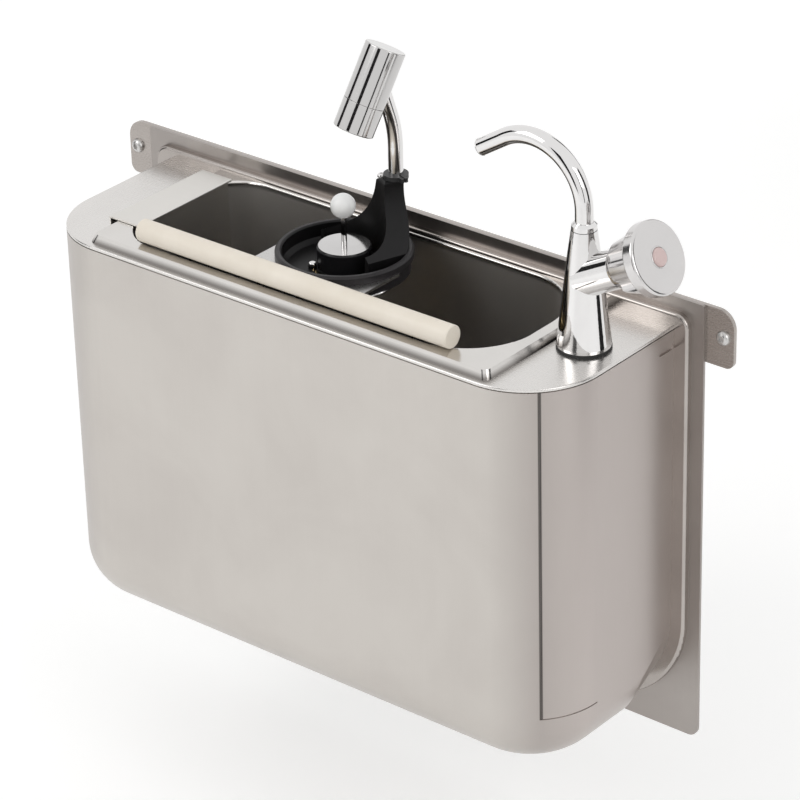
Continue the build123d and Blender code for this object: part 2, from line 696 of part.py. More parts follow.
def hub():
    post = rod(HUB_R, BOWL_FLOOR_TOP, HUB_TOP)
    post = chamfer(post.edges().sort_by(Axis.Z)[-1], 0.6)
    post -= rod(HUB_BORE_R, BOWL_FLOOR_TOP - 1, HUB_ROOF_UNDER)
    return bowl_place() * (post - rod(ROD_R + RUNNING_GAP, 0, HUB_TOP + 1))


def hub_cap():
    edge = HUB_TOP + CAP_HEIGHT * 0.45
    profile = Line((0, HUB_TOP), (CAP_R, HUB_TOP)) + Line((CAP_R, HUB_TOP), (CAP_R, edge))
    profile += ThreePointArc((CAP_R, edge), (CAP_R * 0.55, HUB_TOP + CAP_HEIGHT * 0.87),
                             (0, HUB_TOP + CAP_HEIGHT))
    profile += Line((0, HUB_TOP + CAP_HEIGHT), (0, HUB_TOP))
    disc = revolve(Plane.XZ * make_face(profile), Axis.Z)
    return bowl_place() * (disc - rod(ROD_R + RUNNING_GAP, 0, HUB_TOP + 9))


def plunger_rod():
    """Push rod with its stop collar, from the poppet up into the ball."""
    shaft = rod(ROD_R, ROD_BOTTOM + POPPET_HEIGHT / 2, BALL_CENTRE)
    return bowl_place() * (shaft + rod(STOP_COLLAR_R, COLLAR_UNDER, COLLAR_TOP))


def plunger_ball():
    socket = rod(ROD_R, BALL_CENTRE - 2 * BALL_R, BALL_CENTRE)
    return bowl_place() * (Pos(0, 0, BALL_CENTRE) * Sphere(BALL_R) - socket)


def valve_poppet():
    puck = rod(POPPET_R, ROD_BOTTOM, ROD_BOTTOM + POPPET_HEIGHT)
    puck = chamfer(puck.edges().sort_by(Axis.Z)[0], 1.0)
    return bowl_place() * (puck - rod(ROD_R, ROD_BOTTOM + POPPET_HEIGHT / 2, CHAMBER_TOP))


def plunger_spring():
    low = SPRING_FOOT + SPRING_WIRE
    high = COLLAR_UNDER - SPRING_WIRE
    coil = Helix((high - low) / SPRING_TURNS, high - low, SPRING_R)
    start = coil @ 0
    section = Plane(origin=start, z_dir=coil % 0) * Circle(SPRING_WIRE / 2)
    return bowl_place(low) * sweep(section, coil)


def valve_body():
    body = rod(VALVE_R, VALVE_BOTTOM, BOWL_UNDER)
    body += rod(VALVE_FLANGE_R, BOWL_UNDER - VALVE_FLANGE, BOWL_UNDER)
    body -= rod(HUB_BORE_R, SPRING_FOOT, BOWL_UNDER + 1)
    body -= rod(ROD_R + RUNNING_GAP, VALVE_BOTTOM, BOWL_UNDER)
    body -= rod(HUB_BORE_R, VALVE_BOTTOM + VALVE_FLANGE, CHAMBER_TOP)
    body += rod(VALVE_R - 1, VALVE_BOTTOM, VALVE_BOTTOM + VALVE_FLANGE)
    for place in bowl_screw_places():
        body -= place * rod(BOWL_SCREW_SHANK_R, BOWL_UNDER - VALVE_FLANGE - 1, BOWL_UNDER + 1)
    body -= along_y(PIPE_R, -VALVE_R - 1, -VALVE_R + 3, VALVE_INLET_Z, 0)
    body -= along_y(PIPE_BORE_R, -VALVE_R - 1, 0, VALVE_INLET_Z, 0)
    outlet = along_x(STEM_R, VALVE_R - 3, VALVE_R + 1, BOWL_UNDER - TUBE_OUTLET_DROP, 0)
    outlet += along_x(STEM_BORE_R, 0, VALVE_R + 1, BOWL_UNDER - TUBE_OUTLET_DROP, 0)
    body -= Rot(0, 0, TOWER_ANGLE) * outlet
    return bowl_place() * body


# Shower tube and head


def stem_sweep(radius):
    """The narrow stem, from the valve's outlet up through the tower to the tube's foot."""
    foot = BOWL_UNDER - TUBE_OUTLET_DROP
    points = [(VALVE_R - 3, 0, foot), (STEM_FOOT_R, 0, foot), (TOWER_TUBE_R, 0, TOWER_TOP + TUBE_FLOOR / 2)]
    path = FilletPolyline(*points, radius=TUBE_LOW_BEND)
    return sweep(Plane(origin=path @ 0, z_dir=path % 0) * Circle(radius), path)


def tube_sweep(radius, foot=TOWER_TOP):
    """The shower tube, from its seat on the tower up and over into the head."""
    lean = math.tan(math.radians(TUBE_LEAN))
    points = [(TOWER_TUBE_R, 0, foot), (TOWER_TUBE_R, 0, TUBE_BEND_HEIGHT),
              (TOWER_TUBE_R - (HEAD_CENTRE_HEIGHT - TUBE_BEND_HEIGHT) * lean, 0, HEAD_CENTRE_HEIGHT)]
    path = FilletPolyline(*points, radius=TUBE_BEND_R)
    return sweep(Pos(TOWER_TUBE_R, 0, foot) * Circle(radius), path)


def head_frame():
    """Frame at the head's middle, its z axis up along the head."""
    tilt = math.radians(HEAD_TILT)
    return Plane(origin=(HEAD_CENTRE_REACH, 0, HEAD_CENTRE_HEIGHT), x_dir=(0, 1, 0),
                 z_dir=(math.sin(tilt), 0, math.cos(tilt)))


def shower_tube():
    solid = tube_sweep(TUBE_R) + stem_sweep(STEM_R)
    floor = TOWER_TOP + TUBE_FLOOR
    solid -= tube_sweep(TUBE_BORE_R, floor)
    solid -= stem_sweep(STEM_BORE_R) + rod(STEM_BORE_R, floor - TUBE_FLOOR, floor + 1, TOWER_TUBE_R)
    core = head_frame().location * rod(HEAD_R - HEAD_WALL - 2, -HEAD_LENGTH, HEAD_LENGTH)
    return tower_frame() * (solid - core)


def shower_head():
    half = HEAD_LENGTH / 2
    low = -half + HEAD_LOW_SHARE
    can = rod(HEAD_R, low, half)
    can = fillet(can.edges().sort_by(Axis.Z)[-1], 0.8)
    can -= rod(HEAD_R - HEAD_WALL, low - 1, half - HEAD_WALL)
    placed = head_frame().location * can
    return tower_frame() * (placed - tube_sweep(TUBE_R + RUNNING_GAP))


def head_ring():
    half = HEAD_LENGTH / 2
    top = -half + HEAD_LOW_SHARE - HEAD_RING_GAP
    ring = rod(HEAD_R, -half, top)
    ring = fillet(ring.edges().sort_by(Axis.Z)[0], 0.8)
    ring += rod(HEAD_R - HEAD_WALL, top - 3, top + 5)
    ring -= rod(HEAD_R - 2 * HEAD_WALL, -half + FACE_SHEET + FACE_LIP, half)
    ring -= rod(HEAD_R - HEAD_WALL, -half - 1, -half + FACE_SHEET + FACE_LIP)
    placed = head_frame().location * ring
    return tower_frame() * (placed - tube_sweep(TUBE_R + BODY_GAP))


def spray_face():
    base = -HEAD_LENGTH / 2 + FACE_LIP
    disc = rod(HEAD_R - HEAD_WALL, base, base + FACE_SHEET)
    for count, ring_r in ((6, 3.4), (12, 7.4)):
        for k in range(count):
            hole = rod(FACE_HOLE_R, base - 1, base + 9, ring_r)
            disc -= Rot(0, 0, 360 * k / count) * hole
    return tower_frame() * (head_frame().location * disc)


def tube_clip():
    """Split ring with a lug, round the tube where it leaves the tower."""
    ring = tube(CLIP_R, TUBE_R, TOWER_TOP, TOWER_TOP + CLIP_HEIGHT, TOWER_TUBE_R)
    lug_y = CLIP_R + 3
    lug = span_box((TOWER_TUBE_R - 2.5, TOWER_TUBE_R + 2.5), (-lug_y, -CLIP_R + 1),
                   (TOWER_TOP, TOWER_TOP + CLIP_HEIGHT))
    gap = span_box((TOWER_TUBE_R - 0.4, TOWER_TUBE_R + 0.4), (-lug_y - 1, -TUBE_R + 0.5),
                   (TOWER_TOP - 1, TOWER_TOP + CLIP_HEIGHT + 1))
    return tower_frame() * (ring + lug - gap)


# Tap


def tap_place(z=0.0):
    return Pos(TAP_X, TAP_Y, z)


def tap_gasket():
    return tap_place() * tube(TAP_GASKET_R, SHANK_R, DECK_TOP, TAP_FOOT)


def tap_column():
    """Turned outline of the body: a long taper from the foot to the spout."""
    foot = TAP_FOOT
    height = TAP_HEIGHT
    side = Spline((TAP_BASE_R, foot + 2), (TAP_BASE_R * 0.85, foot + height * 0.3),
                  (TAP_BASE_R * 0.67, foot + height * 0.65), (TAP_TOP_R, TAP_TOP))
    profile = Line((0, foot), (TAP_BASE_R, foot)) + Line((TAP_BASE_R, foot), (TAP_BASE_R, foot + 2))
    profile += side
    profile += Line((TAP_TOP_R, TAP_TOP), (0, TAP_TOP)) + Line((0, TAP_TOP), (0, foot))
    return revolve(Plane.XZ * make_face(profile), Axis.Z)


def knob_frame():
    """Frame on the tap's axis where the headwork crosses it; its z axis runs to the knob."""
    return tilted((TAP_X, TAP_Y, KNOB_CROSSING), KNOB_TILT)


def tap_body():
    body = tap_place() * tap_column()
    body += knob_frame().location * rod(BARREL_R, 0, BARREL_END)
    socket_r = SPOUT_R + RUNNING_GAP
    body -= tap_place() * rod(socket_r, TAP_TOP - SPOUT_SOCKET_DEPTH, TAP_TOP + 1)
    body -= tap_place() * rod(SHANK_BORE_R, TAP_FOOT - 1, TAP_TOP - SPOUT_SOCKET_DEPTH + 1)
    body -= tap_place() * rod(SHANK_R, TAP_FOOT - 1, TAP_FOOT + 8)
    return body - knob_frame().location * rod(NECK_R, SPINDLE_START, BARREL_END + 1)


def headwork():
    """Threaded sleeve screwed into the barrel; the spindle turns in it."""
    sleeve = tube(NECK_R, SPINDLE_R + RUNNING_GAP, SPINDLE_START + 2, NECK_END)
    return knob_frame().location * sleeve


def spindle():
    return knob_frame().location * rod(SPINDLE_R, SPINDLE_START + 3, KNOB_FACE - KNOB_RIM / 2)


def knob():
    """Lobed skirt that flares to a round rim, hollow behind, with a boss on the spindle."""
    neck = KNOB_FACE - KNOB_RIM
    skirt = turned([(0, KNOB_BACK), (KNOB_BACK_R, KNOB_BACK), (KNOB_SKIRT_R, neck), (0, neck)])
    groove_r = KNOB_BACK_R * 0.34
    for k in range(KNOB_LOBES):
        groove = rod(groove_r, KNOB_BACK - 1, neck - 2, KNOB_BACK_R + groove_r * 0.55)
        skirt -= Rot(0, 0, 360 * (k + 0.5) / KNOB_LOBES) * groove
    disc = rod(KNOB_RIM_R, neck, KNOB_FACE)
    disc = fillet(disc.edges().sort_by(Axis.Z)[-1], 2.0)
    disc = fillet(disc.edges().sort_by(Axis.Z)[0], 1.2)
    whole = skirt + disc
    hollow = tube(KNOB_BACK_R * 0.66 - KNOB_WALL, SPINDLE_R + KNOB_WALL, KNOB_BACK - 1, neck - KNOB_WALL)
    whole -= hollow
    whole -= rod(SPINDLE_R, KNOB_BACK - 1, KNOB_FACE - KNOB_RIM / 2)
    whole -= rod(INDEX_R, KNOB_FACE - INDEX_HEIGHT, KNOB_FACE + 1)
    return knob_frame().location * whole


def index_button():
    puck = rod(INDEX_R, KNOB_FACE - INDEX_HEIGHT, KNOB_FACE + INDEX_HEIGHT)
    return knob_frame().location * fillet(puck.edges().sort_by(Axis.Z)[-1], INDEX_HEIGHT * 0.9)


def tap_shank():
    low = DECK_TOP - SHANK_DROP
    return tap_place() * tube(SHANK_R, SHANK_BORE_R, low, TAP_FOOT + 8)


def tap_washer():
    return tap_place() * tube(TAP_WASHER_R, SHANK_R, DECK_UNDER - TAP_WASHER, DECK_UNDER)


def tap_nut():
    top = DECK_UNDER - TAP_WASHER
    return tap_place() * (hexagon(TAP_NUT_R, top - TAP_NUT, top) - rod(SHANK_R, top - TAP_NUT - 1, top + 1))


def spout_path():
    """Centre line of the spout above its collar, in the XZ plane through the tap."""
    start = TAP_TOP + SPOUT_RISE
    centre_x = -SPOUT_BEND_R
    sweep_angle = math.radians(SPOUT_SWEEP)
    middle = sweep_angle / 2
    arc_end = (centre_x + SPOUT_BEND_R * math.cos(sweep_angle), 0,
               start + SPOUT_BEND_R * math.sin(sweep_angle))
    arc_middle = (centre_x + SPOUT_BEND_R * math.cos(middle), 0,
                  start + SPOUT_BEND_R * math.sin(middle))
    nose = (arc_end[0] - SPOUT_NOSE * math.sin(sweep_angle), 0,
            arc_end[2] + SPOUT_NOSE * math.cos(sweep_angle))
    path = Line((0, 0, TAP_TOP - SPOUT_TAIL), (0, 0, start))
    path += ThreePointArc((0, 0, start), arc_middle, arc_end)
    path += Line(arc_end, nose)
    return path


def spout():
    path = spout_path()
    pipe = sweep(Plane.XY.offset(TAP_TOP - SPOUT_TAIL) * Circle(SPOUT_R), path)
    pipe -= sweep(Plane.XY.offset(TAP_TOP - SPOUT_TAIL) * Circle(SPOUT_BORE_R), path)
    return tap_place() * pipe


def spout_collar():
    low = TAP_TOP + BODY_GAP
    top = low + SPOUT_COLLAR
    ring = rod(SPOUT_COLLAR_R, low, top)
    ring = chamfer(ring.edges().sort_by(Axis.Z)[-1], 2.0)
    return tap_place() * (ring - rod(SPOUT_R, low - 1, top + 1))


# Waste, strainer and overflow


def waste_place(z=0.0):
    return Pos(WASTE_X, WASTE_Y, z)


def waste_body():
    low = WASTE_BOTTOM
    body = rod(WASTE_FLANGE_R, WELL_FLOOR, WELL_FLOOR + WASTE_FLANGE)
    body = fillet(body.edges().sort_by(Axis.Z)[-1], 1.2)
    body += rod(WASTE_THREAD_R, TUB_BOTTOM, WELL_FLOOR + 1) + rod(WASTE_TAIL_R, low, TUB_BOTTOM)
    branch = along_x(WASTE_BRANCH_R, -WASTE_BRANCH_LENGTH, 0, WASTE_BRANCH_Z, 0)
    body += branch
    body -= rod(WASTE_BORE_R, low - 1, WELL_FLOOR + WASTE_FLANGE + 1)
    body -= along_x(OVERFLOW_PIPE_R, -WASTE_BRANCH_LENGTH - 1, -WASTE_BRANCH_LENGTH + 12, WASTE_BRANCH_Z, 0)
    body -= along_x(OVERFLOW_PIPE_BORE_R, -WASTE_BRANCH_LENGTH - 1, 0, WASTE_BRANCH_Z, 0)
    return waste_place() * body


def waste_gasket():
    return waste_place() * tube(WASTE_FLANGE_R - 2, WASTE_THREAD_R, WELL_UNDER - WASTE_GASKET, WELL_UNDER)


def waste_nut():
    top = WELL_UNDER - WASTE_GASKET
    nut = hexagon(WASTE_NUT_R, top - WASTE_NUT, top)
    return waste_place() * (nut - rod(WASTE_THREAD_R, top - WASTE_NUT - 1, top + 1))


def strainer():
    """Shallow perforated dish that stands in the waste's mouth, with a lifting knob."""
    seat = WELL_FLOOR + WASTE_FLANGE + BODY_GAP
    dish = rod(STRAINER_R, seat, seat + STRAINER_SHEET)
    spigot = tube(WASTE_BORE_R - BODY_GAP, WASTE_BORE_R - BODY_GAP - STRAINER_SHEET, seat - 8, seat)
    dish += spigot
    for count, ring_r in ((6, 8.0), (12, 13.5)):
        for k in range(count):
            hole = rod(STRAINER_HOLE_R, seat - 1, seat + STRAINER_SHEET + 1, ring_r)
            dish -= Rot(0, 0, 360 * k / count) * hole
    top = seat + STRAINER_SHEET + STRAINER_KNOB_HEIGHT
    dish += rod(STRAINER_KNOB_R * 0.5, seat, top - 3)
    grip = rod(STRAINER_KNOB_R, top - 4, top)
    return waste_place() * (dish + fillet(grip.edges().filter_by(GeomType.CIRCLE), 1.5))


def overflow_screen():
    """Flanged screen in the left wall, with slots across its face."""
    wall = -WELL_HALF
    screen = along_x(OVERFLOW_FLANGE_R, wall, wall + OVERFLOW_FLANGE, OVERFLOW_Z)
    screen += along_x(OVERFLOW_R, wall - WELL_SHEET - 10, wall + 1, OVERFLOW_Z)
    screen -= along_x(OVERFLOW_PIPE_R, wall - WELL_SHEET - 11, wall - WELL_SHEET, OVERFLOW_Z)
    for k in (-2, -1, 0, 1, 2):
        z = OVERFLOW_Z + 2.8 * k
        half = math.sqrt(OVERFLOW_PIPE_BORE_R ** 2 - (2.8 * k) ** 2)
        screen -= span_box((wall - 20, wall + 9), (WASTE_Y - half, WASTE_Y + half), (z - 0.8, z + 0.8))
    return screen


def overflow_path():
    """From the screen out to the left, down beside the well and across to the waste."""
    start = -WELL_HALF - WELL_SHEET
    out = start - OVERFLOW_REACH
    end = WASTE_X - WASTE_BRANCH_LENGTH + 12
    points = [(start, WASTE_Y, OVERFLOW_Z), (out, WASTE_Y, OVERFLOW_Z),
              (out, WASTE_Y, WASTE_BRANCH_Z), (end, WASTE_Y, WASTE_BRANCH_Z)]
    return FilletPolyline(*points, radius=OVERFLOW_BEND)


def overflow_lengths():
    """The overflow's pipe in the order water takes it: two bends and the two straights."""
    path = overflow_path()
    names = ("overflow_stub", "overflow_elbow", "overflow_drop", "overflow_bend", "overflow_run")
    made = {}
    for name, edge in zip(names, path.edges()):
        made[name] = piped(edge, OVERFLOW_PIPE_R, OVERFLOW_PIPE_BORE_R)
    return made


def piped(path, outer, inner):
    """A pipe along a path."""
    start = Plane(origin=path @ 0, z_dir=path % 0)
    return sweep(start * Circle(outer), path) - sweep(start * Circle(inner), path)


# Water pipes


def inlet_places():
    return (INLET_X, INLET_X - INLET_SPACING)


def inlet_seat():
    return TUB_BOTTOM + TUB_SHEET


def tap_pipe():
    """From the tap's shank down past the well, then in to the right-hand inlet."""
    top = DECK_TOP - SHANK_DROP
    turn = (WELL_UNDER + inlet_seat() + INLET_NUT) / 2 - 4
    low = inlet_seat() + INLET_NUT
    points = [(TAP_X, TAP_Y, top), (TAP_X, TAP_Y, turn), (INLET_X, INLET_Y, turn),
              (INLET_X, INLET_Y, low)]
    return piped(FilletPolyline(*points, radius=PIPE_BEND), PIPE_R, PIPE_BORE_R)


def shower_pipe():
    """From the valve forward through the well's front wall, then down and back to its inlet."""
    x = BOWL_X
    front = (TUB_FRONT + TUB_SHEET + WELL_FRONT - WELL_SHEET) / 2
    inlet = INLET_X - INLET_SPACING
    turn = (WELL_UNDER + inlet_seat() + INLET_NUT) / 2 - 4
    low = inlet_seat() + INLET_NUT
    points = [(x, BOWL_Y - VALVE_R + 3, VALVE_INLET_Z), (x, front, VALVE_INLET_Z), (x, front, turn),
              (inlet, INLET_Y, turn), (inlet, INLET_Y, low)]
    radii = [GLAND_R * 0.6, PIPE_BEND, PIPE_BEND]
    return piped(FilletPolyline(*points, radius=radii), PIPE_R, PIPE_BORE_R)


def gland_hole():
    return along_y(PIPE_R + 2, WELL_FRONT - WELL_SHEET - 1, WELL_FRONT + 1, VALVE_INLET_Z, BOWL_X)


def wall_gland():
    """Sealing bush where the shower's pipe passes the well's front wall."""
    wall = WELL_FRONT
    bush = along_y(GLAND_R, wall, wall + GLAND, VALVE_INLET_Z, BOWL_X)
    bush += along_y(PIPE_R + 2 - RUNNING_GAP, wall - WELL_SHEET, wall + 1, VALVE_INLET_Z, BOWL_X)
    return bush - along_y(PIPE_R, wall - 9, wall + 9, VALVE_INLET_Z, BOWL_X)


def inlet_fitting(x):
    """Threaded tail through the tub's bottom, with a shoulder under the sheet."""
    seat = inlet_seat()
    neck = rod(INLET_R, TUB_BOTTOM - INLET_NUT, seat + INLET_NUT, x, INLET_Y)
    shoulder = hexagon(INLET_NUT_R, TUB_BOTTOM - INLET_NUT, TUB_BOTTOM, x, INLET_Y)
    end = rod(INLET_TAIL_R, TUB_BOTTOM - INLET_BELOW, TUB_BOTTOM - INLET_NUT, x, INLET_Y)
    bore = rod(INLET_BORE_R, TUB_BOTTOM - INLET_BELOW - 1, seat + INLET_NUT + 1, x, INLET_Y)
    return neck + shoulder + end - bore


def inlet_nut(x):
    seat = inlet_seat()
    return hexagon(INLET_NUT_R, seat, seat + INLET_NUT, x, INLET_Y) - rod(INLET_R, seat - 1, seat + 20, x, INLET_Y)


def pieces():
    """Every piece by its node name."""
    made = {
        "wall_bar": wall_bar(),
        "wall_screws": wall_screws(),
        "rear_plate": rear_plate(),
        "tub_flange": tub_flange(),
        "casing": casing(),
        "deck": deck(),
        "basin": basin(),
        "cover_plate": cover_plate(),
        "strip_rail": strip_rail(),
        "knock_strip": knock_strip(),
        "bowl_bracket": bowl_bracket(),
        "shower_bowl": shower_bowl(),
        "bowl_screws": bowl_screws(),
        "hub": hub(),
        "hub_cap": hub_cap(),
        "plunger_rod": plunger_rod(),
        "plunger_ball": plunger_ball(),
        "plunger_spring": plunger_spring(),
        "valve_poppet": valve_poppet(),
        "valve_body": valve_body(),
        "shower_tube": shower_tube(),
        "tube_clip": tube_clip(),
        "shower_head": shower_head(),
        "head_ring": head_ring(),
        "spray_face": spray_face(),
        "tap_gasket": tap_gasket(),
        "tap_body": tap_body(),
        "tap_shank": tap_shank(),
        "tap_washer": tap_washer(),
        "tap_nut": tap_nut(),
        "spout": spout(),
        "spout_collar": spout_collar(),
        "headwork": headwork(),
        "spindle": spindle(),
        "knob": knob(),
        "index_button": index_button(),
        "waste_body": waste_body(),
        "waste_gasket": waste_gasket(),
        "waste_nut": waste_nut(),
        "strainer": strainer(),
        "overflow_screen": overflow_screen(),
        **overflow_lengths(),
        "tap_pipe": tap_pipe(),
        "shower_pipe": shower_pipe(),
        "wall_gland": wall_gland(),
    }
    for name, x in zip(("tap", "shower"), inlet_places()):
        made[name + "_inlet"] = inlet_fitting(x)
        made[name + "_inlet_nut"] = inlet_nut(x)
    return made


os.makedirs("parts", exist_ok=True)
for node, shape in pieces().items():
    export_step(shape, os.path.join("parts", node + ".step"))
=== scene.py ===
# %% [markdown]
# # Dipper well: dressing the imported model
# The part is a wall-hung steel tub with a well let into its deck, a black scoop shower
# and a small chrome tap. Its solids come from CAD and are already the right shape, so
# Blender's work is finishes, a few small fittings, the light and the camera.
# %% Load the frame
import math

import bmesh
import bpy
from mathutils import Matrix, Vector


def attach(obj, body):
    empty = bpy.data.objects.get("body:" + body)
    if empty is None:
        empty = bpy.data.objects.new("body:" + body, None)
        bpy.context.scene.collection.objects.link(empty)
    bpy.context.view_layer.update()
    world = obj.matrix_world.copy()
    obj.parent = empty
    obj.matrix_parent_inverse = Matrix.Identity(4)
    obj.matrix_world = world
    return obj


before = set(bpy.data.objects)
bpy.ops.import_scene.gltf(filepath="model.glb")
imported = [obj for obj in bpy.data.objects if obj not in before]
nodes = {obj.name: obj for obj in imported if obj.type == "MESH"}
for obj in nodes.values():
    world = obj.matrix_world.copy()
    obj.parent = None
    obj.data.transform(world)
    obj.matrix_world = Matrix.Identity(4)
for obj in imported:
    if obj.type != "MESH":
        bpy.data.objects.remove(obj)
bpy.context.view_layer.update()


bpy.ops.object.select_all(action="DESELECT")


# %% [markdown]
# ## Helpers for node trees
# Every finish here is a Principled BSDF with procedural nodes in front of it. Wiring them
# by hand takes three calls a node, so two short helpers add a node with its settings and
# join sockets. Patterns read Object coordinates, which stay with the piece when it moves.
# %% Node helpers


def add_node(tree, kind, inputs=None, **settings):
    """Adds a node, sets its properties, then its input values or links."""
    node = tree.nodes.new(kind)
    for name, value in settings.items():
        setattr(node, name, value)
    for key, value in (inputs or {}).items():
        if isinstance(value, bpy.types.NodeSocket):
            tree.links.new(value, node.inputs[key])
        else:
            node.inputs[key].default_value = value
    return node


def math_node(tree, operation, first, second=0.0, clamp=False):
    """One Math node's output."""
    node = add_node(tree, "ShaderNodeMath", {0: first, 1: second}, operation=operation)
    node.use_clamp = clamp
    return node.outputs[0]


def mix_colour(tree, factor, first, second, blend="MIX"):
    """Mixes two colours and gives the result."""
    node = add_node(tree, "ShaderNodeMix", {0: factor, 6: first, 7: second}, data_type="RGBA")
    node.blend_type = blend
    return node.outputs[2]


def ramp(tree, value, low, high, low_out=0.0, high_out=1.0):
    """Maps a value from one range onto another, held at both ends."""
    keys = {"Value": value, "From Min": low, "From Max": high, "To Min": low_out, "To Max": high_out}
    return add_node(tree, "ShaderNodeMapRange", keys).outputs[0]


def new_group(name, inputs, outputs):
    """An empty shader node group with named inputs and outputs."""
    group = bpy.data.node_groups.new(name, "ShaderNodeTree")
    for label, kind, value in inputs:
        socket = group.interface.new_socket(label, in_out="INPUT", socket_type=kind)
        if value is not None:
            socket.default_value = value
    for label, kind in outputs:
        group.interface.new_socket(label, in_out="OUTPUT", socket_type=kind)
    return group, group.nodes.new("NodeGroupInput"), group.nodes.new("NodeGroupOutput")


def colour(red, green, blue):
    """A colour with full alpha."""
    return (red, green, blue, 1.0)


# %% [markdown]
# ## Three effects that several finishes share
# Brushed sheet has long thin scratches that follow the rolling direction, so its noise is
# stretched a hundred times along one axis. Handled steel also has soft cloudy patches and
# fine smears. Moulded plastic has an even, tiny grain. Each is a group with named inputs,
# built once, so that a change to the brushing changes every sheet at a time.
# %% Brushed grain group


def build_brushed():
    """Fine parallel scratches: a tint factor, a roughness shift and a bump height."""
    inputs = [("Vector", "NodeSocketVector", None), ("Stretch", "NodeSocketVector", (1, 1, 1)),
              ("Scale", "NodeSocketFloat", 300.0)]
    outputs = [("Fine", "NodeSocketFloat"), ("Broad", "NodeSocketFloat")]
    group, entry, leave = new_group("brushed_grain", inputs, outputs)
    stretched = add_node(group, "ShaderNodeVectorMath", {0: entry.outputs[0], 1: entry.outputs[1]},
                         operation="MULTIPLY").outputs[0]
    fine = add_node(group, "ShaderNodeTexNoise", {"Vector": stretched, "Scale": entry.outputs[2],
                                                  "Detail": 3.0, "Roughness": 0.65})
    slower = math_node(group, "MULTIPLY", entry.outputs[2], 0.16)
    broad = add_node(group, "ShaderNodeTexNoise", {"Vector": stretched, "Scale": slower,
                                                   "Detail": 2.0, "Roughness": 0.5})
    group.links.new(fine.outputs[0], leave.inputs[0])
    group.links.new(broad.outputs[0], leave.inputs[1])
    return group


brushed_grain = build_brushed()

# %% Cloudy handling marks group


def build_clouds():
    """Soft patches and smears left by wiping, from 0 (clean) to 1 (smeared)."""
    inputs = [("Vector", "NodeSocketVector", None), ("Scale", "NodeSocketFloat", 9.0),
              ("Amount", "NodeSocketFloat", 0.5)]
    group, entry, leave = new_group("wiped_clouds", inputs, [("Smear", "NodeSocketFloat")])
    patches = add_node(group, "ShaderNodeTexNoise", {"Vector": entry.outputs[0],
                                                     "Scale": entry.outputs[1], "Detail": 4.0,
                                                     "Roughness": 0.55, "Distortion": 0.4})
    spread = ramp(group, patches.outputs[0], 0.34, 0.68)
    group.links.new(math_node(group, "MULTIPLY", spread, entry.outputs[2]), leave.inputs[0])
    return group


wiped_clouds = build_clouds()

# %% Moulded grain group


def build_moulded():
    """The even small grain of a moulded surface, as a height for a Bump node."""
    inputs = [("Vector", "NodeSocketVector", None), ("Scale", "NodeSocketFloat", 900.0)]
    group, entry, leave = new_group("moulded_grain", inputs, [("Height", "NodeSocketFloat")])
    grain = add_node(group, "ShaderNodeTexNoise", {"Vector": entry.outputs[0],
                                                   "Scale": entry.outputs[1], "Detail": 2.0})
    group.links.new(grain.outputs[0], leave.inputs[0])
    return group


moulded_grain = build_moulded()
print("groups:", [group.name for group in bpy.data.node_groups])

# %% [markdown]
# ## Steel sheet
# The casing, deck, bar and flange are one stainless sheet with different brushing. Their tints differ
# to paint the light and shade each part gets: the lighter deck and cover tints are painted light, and
# the darker bar, plate and flange tints are painted shade. A metal shows what it reflects, so its own colour
# is a light warm grey and its roughness blurs the room into soft bands. The scratches only move roughness
# and
# bump a little: any stronger, and sheet metal turns into wood.
# %% Sheet finish maker


def start_material(name):
    """A new node material, its shader and its Object coordinates."""
    material = bpy.data.materials.new(name)
    material.use_nodes = True
    tree = material.node_tree
    shader = tree.nodes["Principled BSDF"]
    place = tree.nodes.new("ShaderNodeTexCoord").outputs["Object"]
    return material, tree, shader, place


def place_group(tree, group, inputs):
    """Puts a group into a tree with its values and gives the node."""
    node = tree.nodes.new("ShaderNodeGroup")
    node.node_tree = group
    for key, value in inputs.items():
        if isinstance(value, bpy.types.NodeSocket):
            tree.links.new(value, node.inputs[key])
        else:
            node.inputs[key].default_value = value
    return node


def bump(tree, shader, height, strength, distance=0.0002):
    """Feeds a height to the shader's normal."""
    node = add_node(tree, "ShaderNodeBump", {"Strength": strength, "Distance": distance,
                                             "Height": height})
    tree.links.new(node.outputs[0], shader.inputs["Normal"])


GRAIN_LOW, GRAIN_HIGH = 0.3, 0.7
GRAIN_BUMP = 0.003


def sheet_steel(name, light, dark, rough, stretch, grain, smear, shaping=None):
    """Brushed stainless sheet between two tints, with wiped clouds over it."""
    material, tree, shader, place = start_material(name)
    brushed = place_group(tree, brushed_grain, {"Vector": place, "Stretch": stretch, "Scale": grain})
    clouds = place_group(tree, wiped_clouds, {"Vector": place, "Scale": 11.0, "Amount": smear})
    blend = math_node(tree, "MULTIPLY_ADD", brushed.outputs["Broad"], 0.10)
    blend.node.inputs[2].default_value = -0.05
    tint = math_node(tree, "ADD", blend, math_node(tree, "MULTIPLY", clouds.outputs[0], 0.5), clamp=True)
    base = mix_colour(tree, tint, colour(*light), colour(*dark))
    if shaping:
        base = shaping(tree, place, base)
    tree.links.new(base, shader.inputs["Base Color"])
    shader.inputs["Metallic"].default_value = 1.0
    grit = ramp(tree, brushed.outputs["Fine"], GRAIN_LOW, GRAIN_HIGH, rough - 0.02, rough + 0.04)
    tree.links.new(grit, shader.inputs["Roughness"])
    bump(tree, shader, brushed.outputs["Fine"], GRAIN_BUMP)
    return material
